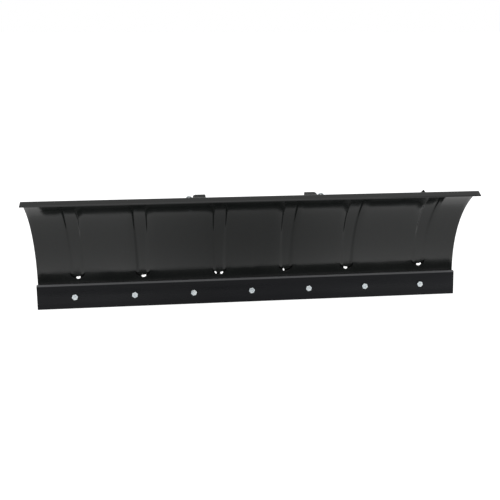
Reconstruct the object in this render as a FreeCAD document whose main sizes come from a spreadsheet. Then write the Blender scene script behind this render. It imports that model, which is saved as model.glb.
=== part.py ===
import FreeCAD, Part

import math
import os

import Sketcher

# A straight snow blade for an all-terrain vehicle: a pressed steel moldboard with a bolted
# wear bar, carried on a trip frame by a hinge at its foot and two return springs, with two
# height-adjustable skid shoes behind it.
#
# Frame: +X to the blade's left-hand end as seen from behind, -Y forward, +Z up, floor at
# Z = 0. "behind" below is a distance behind the cutting edge, along +Y.

doc = FreeCAD.newDocument("SnowBlade")
sheet = doc.addObject("Spreadsheet::Sheet", "Sizes")

SIZES = (
    ("blade_width", 1524.0),
    ("edge_place", -70.45),
    ("bar_width", 1532.0),
    ("frame_centre", 10.0),
    ("lean_angle", 10.3),
    ("bar_high", 88.9),
    ("bar_thick", 9.525),
    ("bar_bevel", 3.0),
    ("sheet_thick", 2.66),
    ("sheet_foot", 22.0),
    ("foot_straight", 90.0),
    ("curl_radius", 330.0),
    ("curl_angle", 69.5),
    ("lip_length", 27.0),
    ("lip_drop", 23.0),
    ("flute_width", 52.0),
    ("flute_run", 6.0),
    ("flute_deep", 5.0),
    ("flute_foot", 102.0),
    ("flute_top", 415.0),
    ("slot_rise", 20.0),
    ("slot_gap", 9.0),
    ("bolt_pitch", 211.2),
    ("bolt_up", 42.0),
    ("bolt_count", 7.0),
    ("bolt_dia", 12.0),
    ("bolt_hole", 6.6),
    ("bolt_flats", 19.0),
    ("bolt_head", 7.5),
    ("bolt_long", 40.0),
    ("nut_high", 10.8),
    ("washer_dia", 26.0),
    ("washer_thick", 2.5),
    ("rail_thick", 5.0),
    ("rail_low", 30.0),
    ("rail_top", 75.0),
    ("rail_leg", 32.0),
    ("rib_thick", 5.0),
    ("rib_top", 392.0),
    ("weld_gap", 0.3),
    ("fit_gap", 0.1),
    ("top_bar_radius", 9.0),
    ("top_bar_hole", 9.1),
    ("top_bar_length", 1300.0),
    ("top_bar_turn", 38.0),
    ("top_bar_gap", 7.0),
    ("tab_thick", 4.0),
    ("marker_bore", 5.5),
    ("marker_height", 376.0),
    ("bracket_top", 407.0),
    ("bracket_inner", 174.0),
    ("bracket_outer", 218.5),
    ("bracket_plate", 5.0),
    ("bracket_long", 120.0),
    ("eye_place", 231.5),
    ("eye_height", 395.0),
    ("eye_radius", 8.5),
    ("eye_wire", 3.5),
    ("eye_hole", 3.6),
    ("eye_shank", 24.0),
    ("eye_nut_flats", 11.0),
    ("eye_nut_high", 5.5),
    ("pivot_behind", 80.0),
    ("pivot_height", 58.0),
    ("pivot_pin", 15.9),
    ("pivot_bore", 8.0),
    ("pivot_head", 12.0),
    ("pivot_head_high", 5.0),
    ("pivot_long", 48.0),
    ("split_pin", 2.0),
    ("split_pin_long", 36.0),
    ("lug_thick", 6.0),
    ("lug_inner", 152.0),
    ("lug_outer", 178.0),
    ("ear_thick", 10.0),
    ("ear_place", 163.0),
    ("stop_wide", 22.0),
    ("stop_deep", 7.4),
    ("stop_high", 30.0),
    ("stop_low", 153.0),
    ("stop_behind", 34.6),
    ("tube_behind", 125.0),
    ("tube_deep", 50.0),
    ("tube_low", 94.0),
    ("tube_high", 40.0),
    ("tube_wall", 4.0),
    ("plate_thick", 8.0),
    ("plate_half", 118.0),
    ("king_behind", 205.0),
    ("king_bore", 10.2),
    ("lock_ring", 72.0),
    ("lock_bore", 6.7),
    ("lock_step", 25.0),
    ("plate_nose", 92.0),
    ("bar_behind", 182.0),
    ("bar_height", 160.0),
    ("bar_radius", 8.0),
    ("bar_hole", 8.1),
    ("bar_long", 504.0),
    ("collar_radius", 13.0),
    ("collar_wide", 6.0),
    ("spring_radius", 16.0),
    ("spring_neck", 2.5),
    ("skid_place", 480.0),
    ("skid_behind", 100.0),
    ("skid_post", 12.5),
    ("skid_gap", 0.08),
    ("skid_plate", 8.0),
    ("sleeve_radius", 17.5),
    ("sleeve_low", 50.3),
    ("sleeve_high", 60.0),
    ("dish_radius", 58.0),
    ("dish_thick", 5.0),
    ("dish_rise", 16.0),
    ("spacer_thick", 6.0),
    ("spacer_radius", 22.0),
    ("post_low", 14.0),
    ("post_top", 165.0),
    ("lynch_height", 150.0),
    ("lynch_radius", 3.8),
    ("lynch_long", 42.0),
    ("lynch_head", 7.0),
    ("lynch_head_high", 9.0),
)

for row, (alias, value) in enumerate(SIZES, start=1):
    sheet.set("A%d" % row, alias)
    sheet.set("B%d" % row, str(value))
    sheet.setAlias("B%d" % row, alias)
doc.recompute()

FLUTE_CENTRES = (-622.0, -392.0, -117.0, 127.0, 355.0, 628.0)
RIB_CENTRES = (-611.0, -405.0, -117.0, 131.0, 370.0, 611.0)
SIDES = (("left", -1), ("right", 1))

Vector = FreeCAD.Vector
UPWARD = Vector(0, 0, 1)
exported = []


def size(alias):
    return float(sheet.get(alias))


def frame_x(offset):
    """X of a point this far to the right of the trip frame's middle."""
    return size("frame_centre") + offset


# ---------------------------------------------------------------- section of the sheet

LEAN = math.radians(size("lean_angle"))
EDGE_Y = size("edge_place")
EDGE_Z = size("bar_thick") * math.sin(LEAN)


def behind(distance):
    """Y of a point this far behind the cutting edge."""
    return EDGE_Y + distance


def on_face(up, back):
    """Y and Z of a point up the leaning foot of the blade and back from its front."""
    y = EDGE_Y + up * math.sin(LEAN) + back * math.cos(LEAN)
    z = EDGE_Z + up * math.cos(LEAN) - back * math.sin(LEAN)
    return y, z


CURL_Y, CURL_Z = on_face(size("foot_straight"), size("bar_thick") - size("curl_radius"))
CURL_START = -math.degrees(LEAN)
CURL_END = size("curl_angle") - math.degrees(LEAN)


def on_curl(radius, degrees):
    """Y and Z of a point on a circle about the curl's axis, counted from straight back."""
    angle = math.radians(degrees)
    return CURL_Y + radius * math.cos(angle), CURL_Z + radius * math.sin(angle)


def curl_at_height(radius, height):
    """Y of the curl's circle of this radius at a height above the floor."""
    return CURL_Y + math.sqrt(radius ** 2 - (height - CURL_Z) ** 2)


# ---------------------------------------------------------------- drawing helpers

PLANE_X_Z = "XZ_Plane"
PLANE_Y_Z = "YZ_Plane"
PLANE_X_Y = "XY_Plane"


def new_body(label):
    item = doc.addObject("PartDesign::Body", label)
    item.Label = label
    return item


def new_sketch(owner, role, distance=0.0, shift=(0.0, 0.0)):
    """A sketch on one of the body's own origin planes, moved along the plane's normal."""
    plane = [item for item in owner.Origin.OriginFeatures if item.Role == role][0]
    item = owner.newObject("Sketcher::SketchObject", owner.Name + "_sketch")
    item.AttachmentSupport = [(plane, "")]
    item.MapMode = "FlatFace"
    base = Vector(shift[0], shift[1], distance)
    item.AttachmentOffset = FreeCAD.Placement(base, FreeCAD.Rotation())
    return item


def draw_polygon(sketch, points):
    corners = [Vector(x, y, 0) for x, y in points]
    for start, end in zip(corners, corners[1:] + corners[:1]):
        sketch.addGeometry(Part.LineSegment(start, end))


def draw_circle(sketch, x, y, radius):
    """A circle whose radius follows a cell of the sheet."""
    circle = Part.Circle(Vector(x, y, 0), Vector(0, 0, 1), size(radius))
    place = sketch.addGeometry(circle)
    row = sketch.addConstraint(Sketcher.Constraint("Radius", place, size(radius)))
    sketch.setExpression("Constraints[%d]" % row, "Sizes." + radius)


def pad(owner, sketch, length, both_ways=False):
    """Raise a sketch by a length that follows the sheet."""
    item = owner.newObject("PartDesign::Pad", owner.Name + "_pad")
    item.Profile = sketch
    item.setExpression("Length", length)
    if both_ways:
        item.SideType = "Symmetric"
    owner.Tip = item
    return item


def pocket(owner, sketch):
    """Cut a sketch through the body both ways."""
    item = owner.newObject("PartDesign::Pocket", owner.Name + "_pocket")
    item.Profile = sketch
    item.Type = "ThroughAll"
    item.SideType = "Symmetric"
    owner.Tip = item
    return item


def revolve(owner, sketch, axis, angle=360.0):
    """Turn a sketch about one of its own axes."""
    item = owner.newObject("PartDesign::Revolution", owner.Name + "_turn")
    item.Profile = sketch
    item.ReferenceAxis = (sketch, [axis])
    item.Angle = angle
    owner.Tip = item
    return item


def keep(item, label):
    """Name a finished sub-part and list it for export."""
    item.Label = label
    exported.append(item)
    return item


def side_plate(label, outline, centre, thick, holes=()):
    """A flat plate across X, drawn in Y and Z, its holes given as (y, z, radius cell)."""
    item = new_body(label)
    sketch = new_sketch(item, PLANE_Y_Z, centre)
    draw_polygon(sketch, outline)
    pad(item, sketch, thick, both_ways=True)
    if holes:
        drilled = new_sketch(item, PLANE_Y_Z, centre)
        for y, z, radius in holes:
            draw_circle(drilled, y, z, radius)
        pocket(item, drilled)
    return item


def cylinder(name, radius, length, base, direction):
    """A round bar from a base point along a direction, sizes as expressions."""
    item = doc.addObject("Part::Cylinder", name)
    item.setExpression("Radius", radius)
    item.setExpression("Height", length)
    item.Placement = FreeCAD.Placement(base, FreeCAD.Rotation(Vector(0, 0, 1), direction))
    return item


def hexagon(name, flats, height, base, direction):
    item = doc.addObject("Part::Prism", name)
    item.Polygon = 6
    item.setExpression("Circumradius", flats + " / sqrt(3)")
    item.setExpression("Height", height)
    item.Placement = FreeCAD.Placement(base, FreeCAD.Rotation(Vector(0, 0, 1), direction))
    return item


def fuse(name, parts):
    item = doc.addObject("Part::MultiFuse", name)
    item.Shapes = parts
    return item


def cut(name, base, tool):
    item = doc.addObject("Part::Cut", name)
    item.Base = base
    item.Tool = tool
    return item


def group(label, parts):
    """Several separate solids of one kind in one node."""
    item = doc.addObject("Part::Compound", label)
    item.Links = parts
    return keep(item, label)


# ---------------------------------------------------------------- moldboard

THICK = size("sheet_thick")
FRONT = size("bar_thick")
RADIUS = size("curl_radius")
BACK_RADIUS = RADIUS + THICK
HALF_FLUTE = size("flute_width") / 2


def sheet_outline(sketch):
    """The sheet's section: leaning foot, forward curl and turned-down lip."""
    middle = (CURL_START + CURL_END) / 2
    foot_front = on_face(size("sheet_foot"), FRONT)
    foot_back = on_face(size("sheet_foot"), FRONT + THICK)
    top_front = on_curl(RADIUS, CURL_END)
    top_back = on_curl(BACK_RADIUS, CURL_END)
    drop = math.radians(size("lip_drop"))
    reach = Vector(0, -math.cos(drop), -math.sin(drop)) * size("lip_length")
    rise = Vector(0, -math.sin(drop), math.cos(drop)) * THICK
    lip_under = (top_front[0] + reach.y, top_front[1] + reach.z)
    lip_over = (lip_under[0] + rise.y, lip_under[1] + rise.z)
    corner = (top_front[0] + rise.y, top_front[1] + rise.z)
    straight = (
        (foot_back, foot_front),
        (foot_front, on_curl(RADIUS, CURL_START)),
        (top_front, lip_under),
        (lip_under, lip_over),
        (lip_over, corner),
        (corner, top_back),
        (on_curl(BACK_RADIUS, CURL_START), foot_back),
    )
    for start, end in straight:
        sketch.addGeometry(Part.LineSegment(Vector(*start, 0), Vector(*end, 0)))
    for radius in (RADIUS, BACK_RADIUS):
        ends = [Vector(*on_curl(radius, turn), 0) for turn in (CURL_START, middle, CURL_END)]
        sketch.addGeometry(Part.Arc(*ends))


def flute_bottom(centre, inner):
    """Corner, middle and corner of the arc that ends a flute, outside or inside the slot."""
    half = HALF_FLUTE
    low = size("flute_foot") + (size("slot_gap") if inner else 0)
    high = size("flute_foot") + size("slot_rise") + (size("slot_gap") / 2 if inner else 0)
    return (Vector(centre - half, high, 0), Vector(centre, low, 0), Vector(centre + half, high, 0))


def draw_opening(sketch, centre):
    """The gap that a flute is set into: round at the foot, square at the top."""
    left, lowest, right = flute_bottom(centre, False)
    upper_left = Vector(left.x, size("flute_top"), 0)
    upper_right = Vector(right.x, size("flute_top"), 0)
    sketch.addGeometry(Part.Arc(left, lowest, right))
    sketch.addGeometry(Part.LineSegment(right, upper_right))
    sketch.addGeometry(Part.LineSegment(upper_right, upper_left))
    sketch.addGeometry(Part.LineSegment(upper_left, left))


def draw_trim(sketch, centre):
    """What is cut off below a flute's rounded tongue."""
    left, lowest, right = flute_bottom(centre, True)
    drop = size("flute_foot") - size("slot_rise")
    margin = 1.0
    lower_left = Vector(left.x - margin, drop, 0)
    lower_right = Vector(right.x + margin, drop, 0)
    outer_left = Vector(left.x - margin, left.y, 0)
    outer_right = Vector(right.x + margin, right.y, 0)
    sketch.addGeometry(Part.Arc(left, lowest, right))
    sketch.addGeometry(Part.LineSegment(right, outer_right))
    sketch.addGeometry(Part.LineSegment(outer_right, lower_right))
    sketch.addGeometry(Part.LineSegment(lower_right, lower_left))
    sketch.addGeometry(Part.LineSegment(lower_left, outer_left))
    sketch.addGeometry(Part.LineSegment(outer_left, left))


def flute_section(centre, filled):
    """A flute's section across X, as points of X and distance from the curl's axis."""
    run = size("flute_run")
    deep = size("flute_deep")
    floor = HALF_FLUTE - run
    back = floor + 2.0
    outer = [
        (centre + HALF_FLUTE, RADIUS),
        (centre + HALF_FLUTE, BACK_RADIUS),
        (centre + back, BACK_RADIUS + deep),
        (centre - back, BACK_RADIUS + deep),
        (centre - HALF_FLUTE, BACK_RADIUS),
        (centre - HALF_FLUTE, RADIUS),
    ]
    if filled:
        return outer
    return outer + [(centre - floor, RADIUS + deep), (centre + floor, RADIUS + deep)]


def bolt_places():
    count = int(size("bolt_count"))
    return [(step - (count - 1) / 2) * size("bolt_pitch") for step in range(count)]


def sheet_strips():
    """Spans of X that make up the sheet: plain ones between the flutes, and one for each flute."""
    half = size("blade_width") / 2
    edges = [-half]
    for centre in FLUTE_CENTRES:
        edges += [centre - HALF_FLUTE, centre + HALF_FLUTE]
    edges.append(half)
    return list(zip(edges, edges[1:]))


def make_strip(number, left, right):
    """One span of the sheet, with the opening for its flute and the holes for its bolts."""
    strip = new_body("strip_%d" % number)
    section = new_sketch(strip, PLANE_Y_Z, (left + right) / 2)
    sheet_outline(section)
    raised = pad(strip, section, "%r" % (right - left), both_ways=True)
    raised.Refine = False
    for centre in FLUTE_CENTRES:
        if left < centre < right:
            opening = new_sketch(strip, PLANE_X_Z)
            draw_opening(opening, centre)
            pocket(strip, opening).Refine = False
    reach = size("bolt_hole")
    places = [place for place in bolt_places() if left - reach < place < right + reach]
    if places:
        drilled = new_sketch(strip, PLANE_X_Z)
        leaning_plane(drilled)
        for place in places:
            draw_circle(drilled, place, size("bolt_up"), "bolt_hole")
        holes = pocket(strip, drilled)
        holes.Type = "Length"
        holes.Length = 2 * (FRONT + THICK + 2)
        holes.Refine = False
    return strip


def make_flute(number, centre):
    """A pressed channel with sloping walls, closed at its top and cut to a tongue at its foot."""
    top_turn = math.degrees(math.asin((size("flute_top") - CURL_Z) / RADIUS))
    low_turn = math.degrees(math.asin((size("flute_foot") - CURL_Z) / RADIUS))
    cap_turn = math.degrees(THICK / RADIUS)
    flute = new_body("flute_%d" % number)
    for filled, first, last in ((False, low_turn, top_turn), (True, top_turn - cap_turn, top_turn)):
        profile = new_sketch(flute, PLANE_X_Y)
        profile.AttachmentOffset = FreeCAD.Placement(
            Vector(0, CURL_Y, CURL_Z), FreeCAD.Rotation(Vector(1, 0, 0), first)
        )
        draw_polygon(profile, flute_section(centre, filled))
        revolve(flute, profile, "H_Axis", last - first)
    trim = new_sketch(flute, PLANE_X_Z)
    draw_trim(trim, centre)
    pocket(flute, trim)
    return flute


def make_moldboard():
    pieces = [make_strip(number, *span) for number, span in enumerate(sheet_strips(), start=1)]
    pieces += [make_flute(number, centre) for number, centre in enumerate(FLUTE_CENTRES, start=1)]
    board = fuse("moldboard", pieces)
    board.Refine = False
    keep(board, "moldboard")


# ---------------------------------------------------------------- wear bar and its bolts

BACKWARD = Vector(0, math.cos(LEAN), -math.sin(LEAN))


def leaning_plane(sketch, back=0.0):
    """Move a sketch on the X-Z plane to lie along the leaning foot of the blade."""
    y, z = on_face(0, back)
    turn = FreeCAD.Rotation(Vector(1, 0, 0), -math.degrees(LEAN))
    sketch.AttachmentOffset = FreeCAD.Placement(Vector(0, z, -y), turn)


def face_point(across, up, back):
    return Vector(across, *on_face(up, back))


def make_wear_bar():
    """A rolled flat bar with its upper front edge bevelled and seven holes."""
    bar = new_body("wear_bar")
    section = new_sketch(bar, PLANE_Y_Z)
    high = size("bar_high")
    bevel = size("bar_bevel")
    corners = ((0, 0), (0, FRONT), (high, FRONT), (high, bevel), (high - 2 * bevel, 0))
    draw_polygon(section, [on_face(*corner) for corner in corners])
    pad(bar, section, "Sizes.bar_width", both_ways=True)
    drilled = new_sketch(bar, PLANE_X_Z)
    leaning_plane(drilled)
    for place in bolt_places():
        draw_circle(drilled, place, size("bolt_up"), "bolt_hole")
    pocket(bar, drilled)
    keep(bar, "wear_bar")


def make_bolts():
    """Hex bolts through bar, sheet and rail, with a washer and a nut on each."""
    stack = FRONT + THICK + size("rail_thick")
    bolts = []
    washers = []
    nuts = []
    for number, place in enumerate(bolt_places(), start=1):
        up = size("bolt_up")
        head = hexagon(
            "head_%d" % number,
            "Sizes.bolt_flats",
            "Sizes.bolt_head",
            face_point(place, up, -size("bolt_head")),
            BACKWARD,
        )
        shank = cylinder(
            "shank_%d" % number,
            "Sizes.bolt_dia / 2",
            "Sizes.bolt_long",
            face_point(place, up, -size("bolt_head") / 2),
            BACKWARD,
        )
        bolts.append(fuse("bolt_%d" % number, [head, shank]))
        ring = cylinder(
            "ring_%d" % number,
            "Sizes.washer_dia / 2",
            "Sizes.washer_thick",
            face_point(place, up, stack),
            BACKWARD,
        )
        ring_hole = cylinder(
            "ring_hole_%d" % number,
            "Sizes.bolt_dia / 2 + Sizes.fit_gap",
            "Sizes.washer_thick + 2",
            face_point(place, up, stack - 1),
            BACKWARD,
        )
        washers.append(cut("washer_%d" % number, ring, ring_hole))
        block = hexagon(
            "block_%d" % number,
            "Sizes.bolt_flats",
            "Sizes.nut_high",
            face_point(place, up, stack + size("washer_thick")),
            BACKWARD,
        )
        thread = cylinder(
            "thread_%d" % number,
            "Sizes.bolt_dia / 2 + Sizes.fit_gap",
            "Sizes.nut_high + 2",
            face_point(place, up, stack + size("washer_thick") - 1),
            BACKWARD,
        )
        nuts.append(cut("nut_%d" % number, block, thread))
    group("wear_bar_bolts", bolts)
    group("wear_bar_washers", washers)
    group("wear_bar_nuts", nuts)


# ---------------------------------------------------------------- back of the blade


def make_rail():
    """An angle along the foot: one leg on the sheet, one leg out behind it."""
    rail = new_body("bottom_rail")
    section = new_sketch(rail, PLANE_Y_Z)
    inner = FRONT + THICK
    thick = size("rail_thick")
    low = size("rail_low")
    top = size("rail_top")
    reach = inner + size("rail_leg")
    corners = ((low, inner), (top, inner), (top, reach), (top - thick, reach))
    corners += ((top - thick, inner + thick), (low, inner + thick))
    draw_polygon(section, [on_face(*corner) for corner in corners])
    pad(rail, section, "Sizes.blade_width - 40", both_ways=True)
    drilled = new_sketch(rail, PLANE_X_Z)
    leaning_plane(drilled, inner)
    for place in bolt_places():
        draw_circle(drilled, place, size("bolt_up"), "bolt_hole")
    pocket(rail, drilled)
    keep(rail, "bottom_rail")


RIB_FRONT = BACK_RADIUS + size("flute_deep") + size("weld_gap")
TOP_BAR = on_curl(
    RIB_FRONT + size("top_bar_radius") + size("top_bar_gap"),
    size("top_bar_turn"),
)


def rail_surface(distance):
    """Height of the rail's upper side this far behind the cutting edge."""
    y, z = on_face(size("rail_top"), FRONT + THICK)
    return z - (behind(distance) - y) * math.tan(LEAN)


# A rib's rear edge from the rail up to its rounded top: distance behind the edge, height.
RIB_TOE = (29.0, 55.0)
RIB_BACK = ((58.0, 150.0), (46.0, 280.0), (-2.0, 378.0), (-14.0, 392.0))


def make_ribs():
    """Upright plates behind the flutes, from the rail to the curl."""
    front = RIB_FRONT
    top = size("rib_top")
    foot = rail_surface(RIB_TOE[0])
    heel = rail_surface(RIB_TOE[1]) + size("fit_gap")
    for number, centre in enumerate(RIB_CENTRES, start=1):
        rib = new_body("rib_%d" % number)
        sketch = new_sketch(rib, PLANE_Y_Z, centre)
        upper = Vector(curl_at_height(front, top), top, 0)
        waist = (top + foot) / 2
        middle = Vector(curl_at_height(front, waist), waist, 0)
        lower = Vector(curl_at_height(front, foot), foot, 0)
        outer = [(behind(RIB_TOE[1]), heel)]
        outer += [(behind(distance), height) for distance, height in RIB_BACK]
        points = [(lower.x, lower.y)] + outer + [(upper.x, upper.y)]
        corners = [Vector(y, z, 0) for y, z in points]
        for start, end in zip(corners, corners[1:]):
            sketch.addGeometry(Part.LineSegment(start, end))
        sketch.addGeometry(Part.Arc(upper, middle, lower))
        draw_circle(sketch, *TOP_BAR, "top_bar_hole")
        pad(rib, sketch, "Sizes.rib_thick", both_ways=True)
        keep(rib, "rib_%d" % number)


# The marker tab's outline beside and over the end rib: distance outward from its middle, height.
TAB_OUTLINE = (
    (2.5, 330.0),
    (2.5, 383.0),
    (-6.5, 383.0),
    (-6.5, 397.0),
    (5.0, 408.0),
    (14.0, 397.0),
    (23.5, 388.0),
    (23.5, 348.0),
)
TAB_BORE_OUT = 13.5


def make_marker_tab():
    """A small pointed tab on the end rib, a fixing for a marker rod."""
    tab = new_body("marker_tab")
    sketch = new_sketch(tab, PLANE_X_Z, -behind(0))
    middle = RIB_CENTRES[-1]
    draw_polygon(sketch, [(middle + outward, height) for outward, height in TAB_OUTLINE])
    pad(tab, sketch, "Sizes.tab_thick", both_ways=True)
    drilled = new_sketch(tab, PLANE_X_Z, -behind(0))
    draw_circle(drilled, middle + TAB_BORE_OUT, size("marker_height"), "marker_bore")
    pocket(tab, drilled)
    keep(tab, "marker_tab")


def make_stiffener():
    """A round bar along the back of the curl, through the ribs and the spring brackets."""
    half = size("top_bar_length") / 2
    start = Vector(-half, *TOP_BAR)
    bar = cylinder("top_bar", "Sizes.top_bar_radius", "Sizes.top_bar_length", start, Vector(1, 0, 0))
    return keep(bar, "top_bar")


# A spring bracket is a folded cap: round outer corner, shoulder lines and slanted foot.
CAP_FOOT = 270.0
CAP_MIDDLE = -40.0
CAP_CORNER = 9.0
CAP_BEND = 2.6
CAP_NICK = 2.0
CAP_BACK = 12.0
CAP_SHOULDER = 34.0
CAP_SLANT = (-16.0, 300.0)
FAR_BACK = 60.0
FAR_FRONT = -160.0
FAR_LOW = 262.0
FAR_HIGH = 420.0


def cap_outline(sign):
    """The cap seen from the front: two sides and a top of one plate thickness."""
    top = size("bracket_top")
    plate = size("bracket_plate")
    near = frame_x(sign * size("bracket_inner"))
    far = frame_x(sign * size("bracket_outer"))
    outline = [(near, CAP_FOOT), (near, top - CAP_NICK), (near + sign * CAP_NICK, top)]
    outline += [(far - sign * CAP_CORNER, top), (far - sign * CAP_BEND, top - CAP_BEND)]
    outline += [(far, top - CAP_CORNER), (far, CAP_FOOT), (far - sign * plate, CAP_FOOT)]
    outline += [(far - sign * plate, top - plate), (near + sign * plate, top - plate)]
    outline += [(near + sign * plate, CAP_FOOT)]
    return outline


def make_spring_bracket(side, sign):
    """A folded cap that follows the curl at its front and slants back to it at its foot."""
    cap = new_body("spring_bracket_" + side)
    sketch = new_sketch(cap, PLANE_X_Z, -behind(CAP_MIDDLE))
    draw_polygon(sketch, cap_outline(sign))
    pad(cap, sketch, "Sizes.bracket_long", both_ways=True)
    trimmed = new_sketch(cap, PLANE_Y_Z)
    front = BACK_RADIUS + size("fit_gap")
    heights = (FAR_HIGH - 5, (FAR_HIGH + FAR_LOW) / 2, FAR_LOW)
    curl = [Vector(curl_at_height(front, height), height, 0) for height in heights]
    trimmed.addGeometry(Part.Arc(*curl))
    border = [curl[2], Vector(behind(FAR_FRONT), FAR_LOW, 0)]
    border += [Vector(behind(FAR_FRONT), heights[0], 0), curl[0]]
    for start, end in zip(border, border[1:]):
        trimmed.addGeometry(Part.LineSegment(start, end))
    pocket(cap, trimmed)
    shoulder = size("bracket_top") - CAP_SHOULDER
    foot = CAP_SLANT[0]
    slant = ((CAP_BACK, shoulder), (FAR_BACK, shoulder), (FAR_BACK, FAR_LOW), (foot, FAR_LOW), CAP_SLANT)
    square = ((CAP_BACK, shoulder), (CAP_BACK, FAR_HIGH), (FAR_BACK, FAR_HIGH), (FAR_BACK, shoulder))
    for outline in (slant, square):
        sketch = new_sketch(cap, PLANE_Y_Z)
        draw_polygon(sketch, [(behind(distance), height) for distance, height in outline])
        pocket(cap, sketch)
    through = new_sketch(cap, PLANE_Y_Z)
    draw_circle(through, *TOP_BAR, "top_bar_hole")
    pocket(cap, through)
    bored = new_sketch(cap, PLANE_Y_Z, frame_x(sign * size("bracket_outer")))
    draw_circle(bored, behind(0), size("eye_height"), "eye_hole")
    bore = pocket(cap, bored)
    bore.Type = "Length"
    bore.Length = 4 * size("bracket_plate")
    keep(cap, "spring_bracket_" + side)


def make_eye_bolt(side, sign):
    """A ring on a threaded shank that points inward, its nut inside the bracket."""
    ring = doc.addObject("Part::Torus", "eye_ring_" + side)
    ring.setExpression("Radius1", "Sizes.eye_radius")
    ring.setExpression("Radius2", "Sizes.eye_wire")
    centre = Vector(frame_x(sign * size("eye_place")), behind(0), size("eye_height"))
    upright = FreeCAD.Rotation(Vector(1, 0, 0), 90)
    seam_outward = FreeCAD.Rotation(Vector(0, 0, 1), 90 - 90 * sign)
    ring.Placement = FreeCAD.Placement(centre, upright.multiply(seam_outward))
    inward = Vector(-sign, 0, 0)
    start = centre + inward * size("eye_radius")
    shank = cylinder("eye_shank_" + side, "Sizes.eye_wire", "Sizes.eye_shank", start, inward)
    keep(fuse("spring_eyebolt_" + side, [ring, shank]), "spring_eyebolt_" + side)
    inside = frame_x(sign * (size("bracket_outer") - size("bracket_plate")))
    seat = Vector(inside, behind(0), size("eye_height"))
    block = hexagon("eye_block_" + side, "Sizes.eye_nut_flats", "Sizes.eye_nut_high", seat, inward)
    thread = cylinder(
        "eye_thread_" + side,
        "Sizes.eye_hole",
        "Sizes.eye_nut_high + 2",
        seat - inward,
        inward,
    )
    return cut("eye_nut_" + side, block, thread)


def make_spring_mounts():
    """Brackets behind the curl, an eye bolt through each outer side."""
    nuts = []
    for side, sign in SIDES:
        make_spring_bracket(side, sign)
        nuts.append(make_eye_bolt(side, sign))
    group("eyebolt_nuts", nuts)


# A lug's root on the rail, given up and back from it, and its nose about the pivot pin.
LUG_ROOT = ((34.0, 1.0), (68.0, 1.0), (68.0, 27.0))
LUG_NOSE = ((-8.0, 15.0), (6.0, 16.0), (16.0, 6.0), (16.0, -6.0), (6.0, -16.0), (-10.0, -18.0))


def make_lugs():
    """A pair of plates at each side of the trip frame's ears, drilled for the pivot pin."""
    y = behind(size("pivot_behind"))
    z = size("pivot_height")
    inner = FRONT + THICK + size("rail_thick")
    outline = [on_face(up, inner + back) for up, back in LUG_ROOT]
    outline += [(y + back, z + up) for back, up in LUG_NOSE]
    for side, sign in SIDES:
        for place, word in ((size("lug_inner"), "inner"), (size("lug_outer"), "outer")):
            centre = frame_x(sign * (place + size("lug_thick") / 2))
            label = "pivot_lug_%s_%s" % (side, word)
            lug = side_plate(label, outline, centre, "Sizes.lug_thick", ((y, z, "pivot_bore"),))
            keep(lug, label)


def make_pivot_pins():
    """Headed pins through lugs and ears, each held by a split pin."""
    clips = []
    y = behind(size("pivot_behind"))
    z = size("pivot_height")
    for side, sign in SIDES:
        inward = Vector(-sign, 0, 0)
        outer = size("lug_outer") + size("lug_thick")
        face = Vector(frame_x(sign * outer), y, z)
        start = face - inward * size("pivot_head_high")
        head = cylinder("pin_head_" + side, "Sizes.pivot_head", "Sizes.pivot_head_high", start, inward)
        shaft = cylinder("pin_shaft_" + side, "Sizes.pivot_pin / 2", "Sizes.pivot_long",
                         face - inward * 2, inward)
        pin = fuse("pin_" + side, [head, shaft])
        half = size("split_pin_long") / 2
        place = Vector(frame_x(sign * (size("lug_inner") - 6)), y, z - half)
        hole = cylinder("pin_hole_" + side, "Sizes.split_pin + Sizes.fit_gap",
                        "Sizes.split_pin_long", place, UPWARD)
        keep(cut("pivot_pin_" + side, pin, hole), "pivot_pin_" + side)
        clips.append(cylinder("split_pin_" + side, "Sizes.split_pin", "Sizes.split_pin_long", place, UPWARD))
    group("pivot_split_pins", clips)


# ---------------------------------------------------------------- trip frame


# An ear's outline, from its pivot up to the stop pad, over the spring bar and back below the
# tube: distance behind the edge, height.
EAR_OUTLINE = (
    (66.0, 52.0),
    (65.0, 120.0),
    (42.0, 150.0),
    (42.0, 186.0),
    (60.0, 186.0),
    (112.0, 146.0),
    (164.0, 146.0),
    (170.0, 172.0),
    (194.0, 172.0),
    (200.0, 150.0),
    (207.0, 128.0),
    (207.0, 96.0),
    (196.0, 86.0),
    (134.0, 84.0),
    (95.0, 52.0),
    (86.0, 44.0),
    (74.0, 44.0),
)


def make_ears():
    """Side plates that carry pivot, cross tube, spring bar and stop pad."""
    y = behind(size("pivot_behind"))
    z = size("pivot_height")
    outline = [(behind(distance), height) for distance, height in EAR_OUTLINE]
    holes = ((y, z, "pivot_bore"), (behind(size("bar_behind")), size("bar_height"), "bar_hole"))
    for side, sign in SIDES:
        centre = frame_x(sign * (size("ear_place") + size("ear_thick") / 2))
        keep(side_plate("ear_" + side, outline, centre, "Sizes.ear_thick", holes), "ear_" + side)


def make_stop_pads():
    """Rubber-faced blocks on the ears that the blade's back leans on."""
    for side, sign in SIDES:
        block = doc.addObject("Part::Box", "stop_" + side)
        block.setExpression("Length", "Sizes.stop_wide")
        block.setExpression("Width", "Sizes.stop_deep")
        block.setExpression("Height", "Sizes.stop_high")
        middle = frame_x(sign * (size("ear_place") + size("ear_thick") / 2))
        start = middle - size("stop_wide") / 2
        block.Placement.Base = Vector(start, behind(size("stop_behind")), size("stop_low"))
        keep(block, "stop_pad_" + side)


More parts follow.
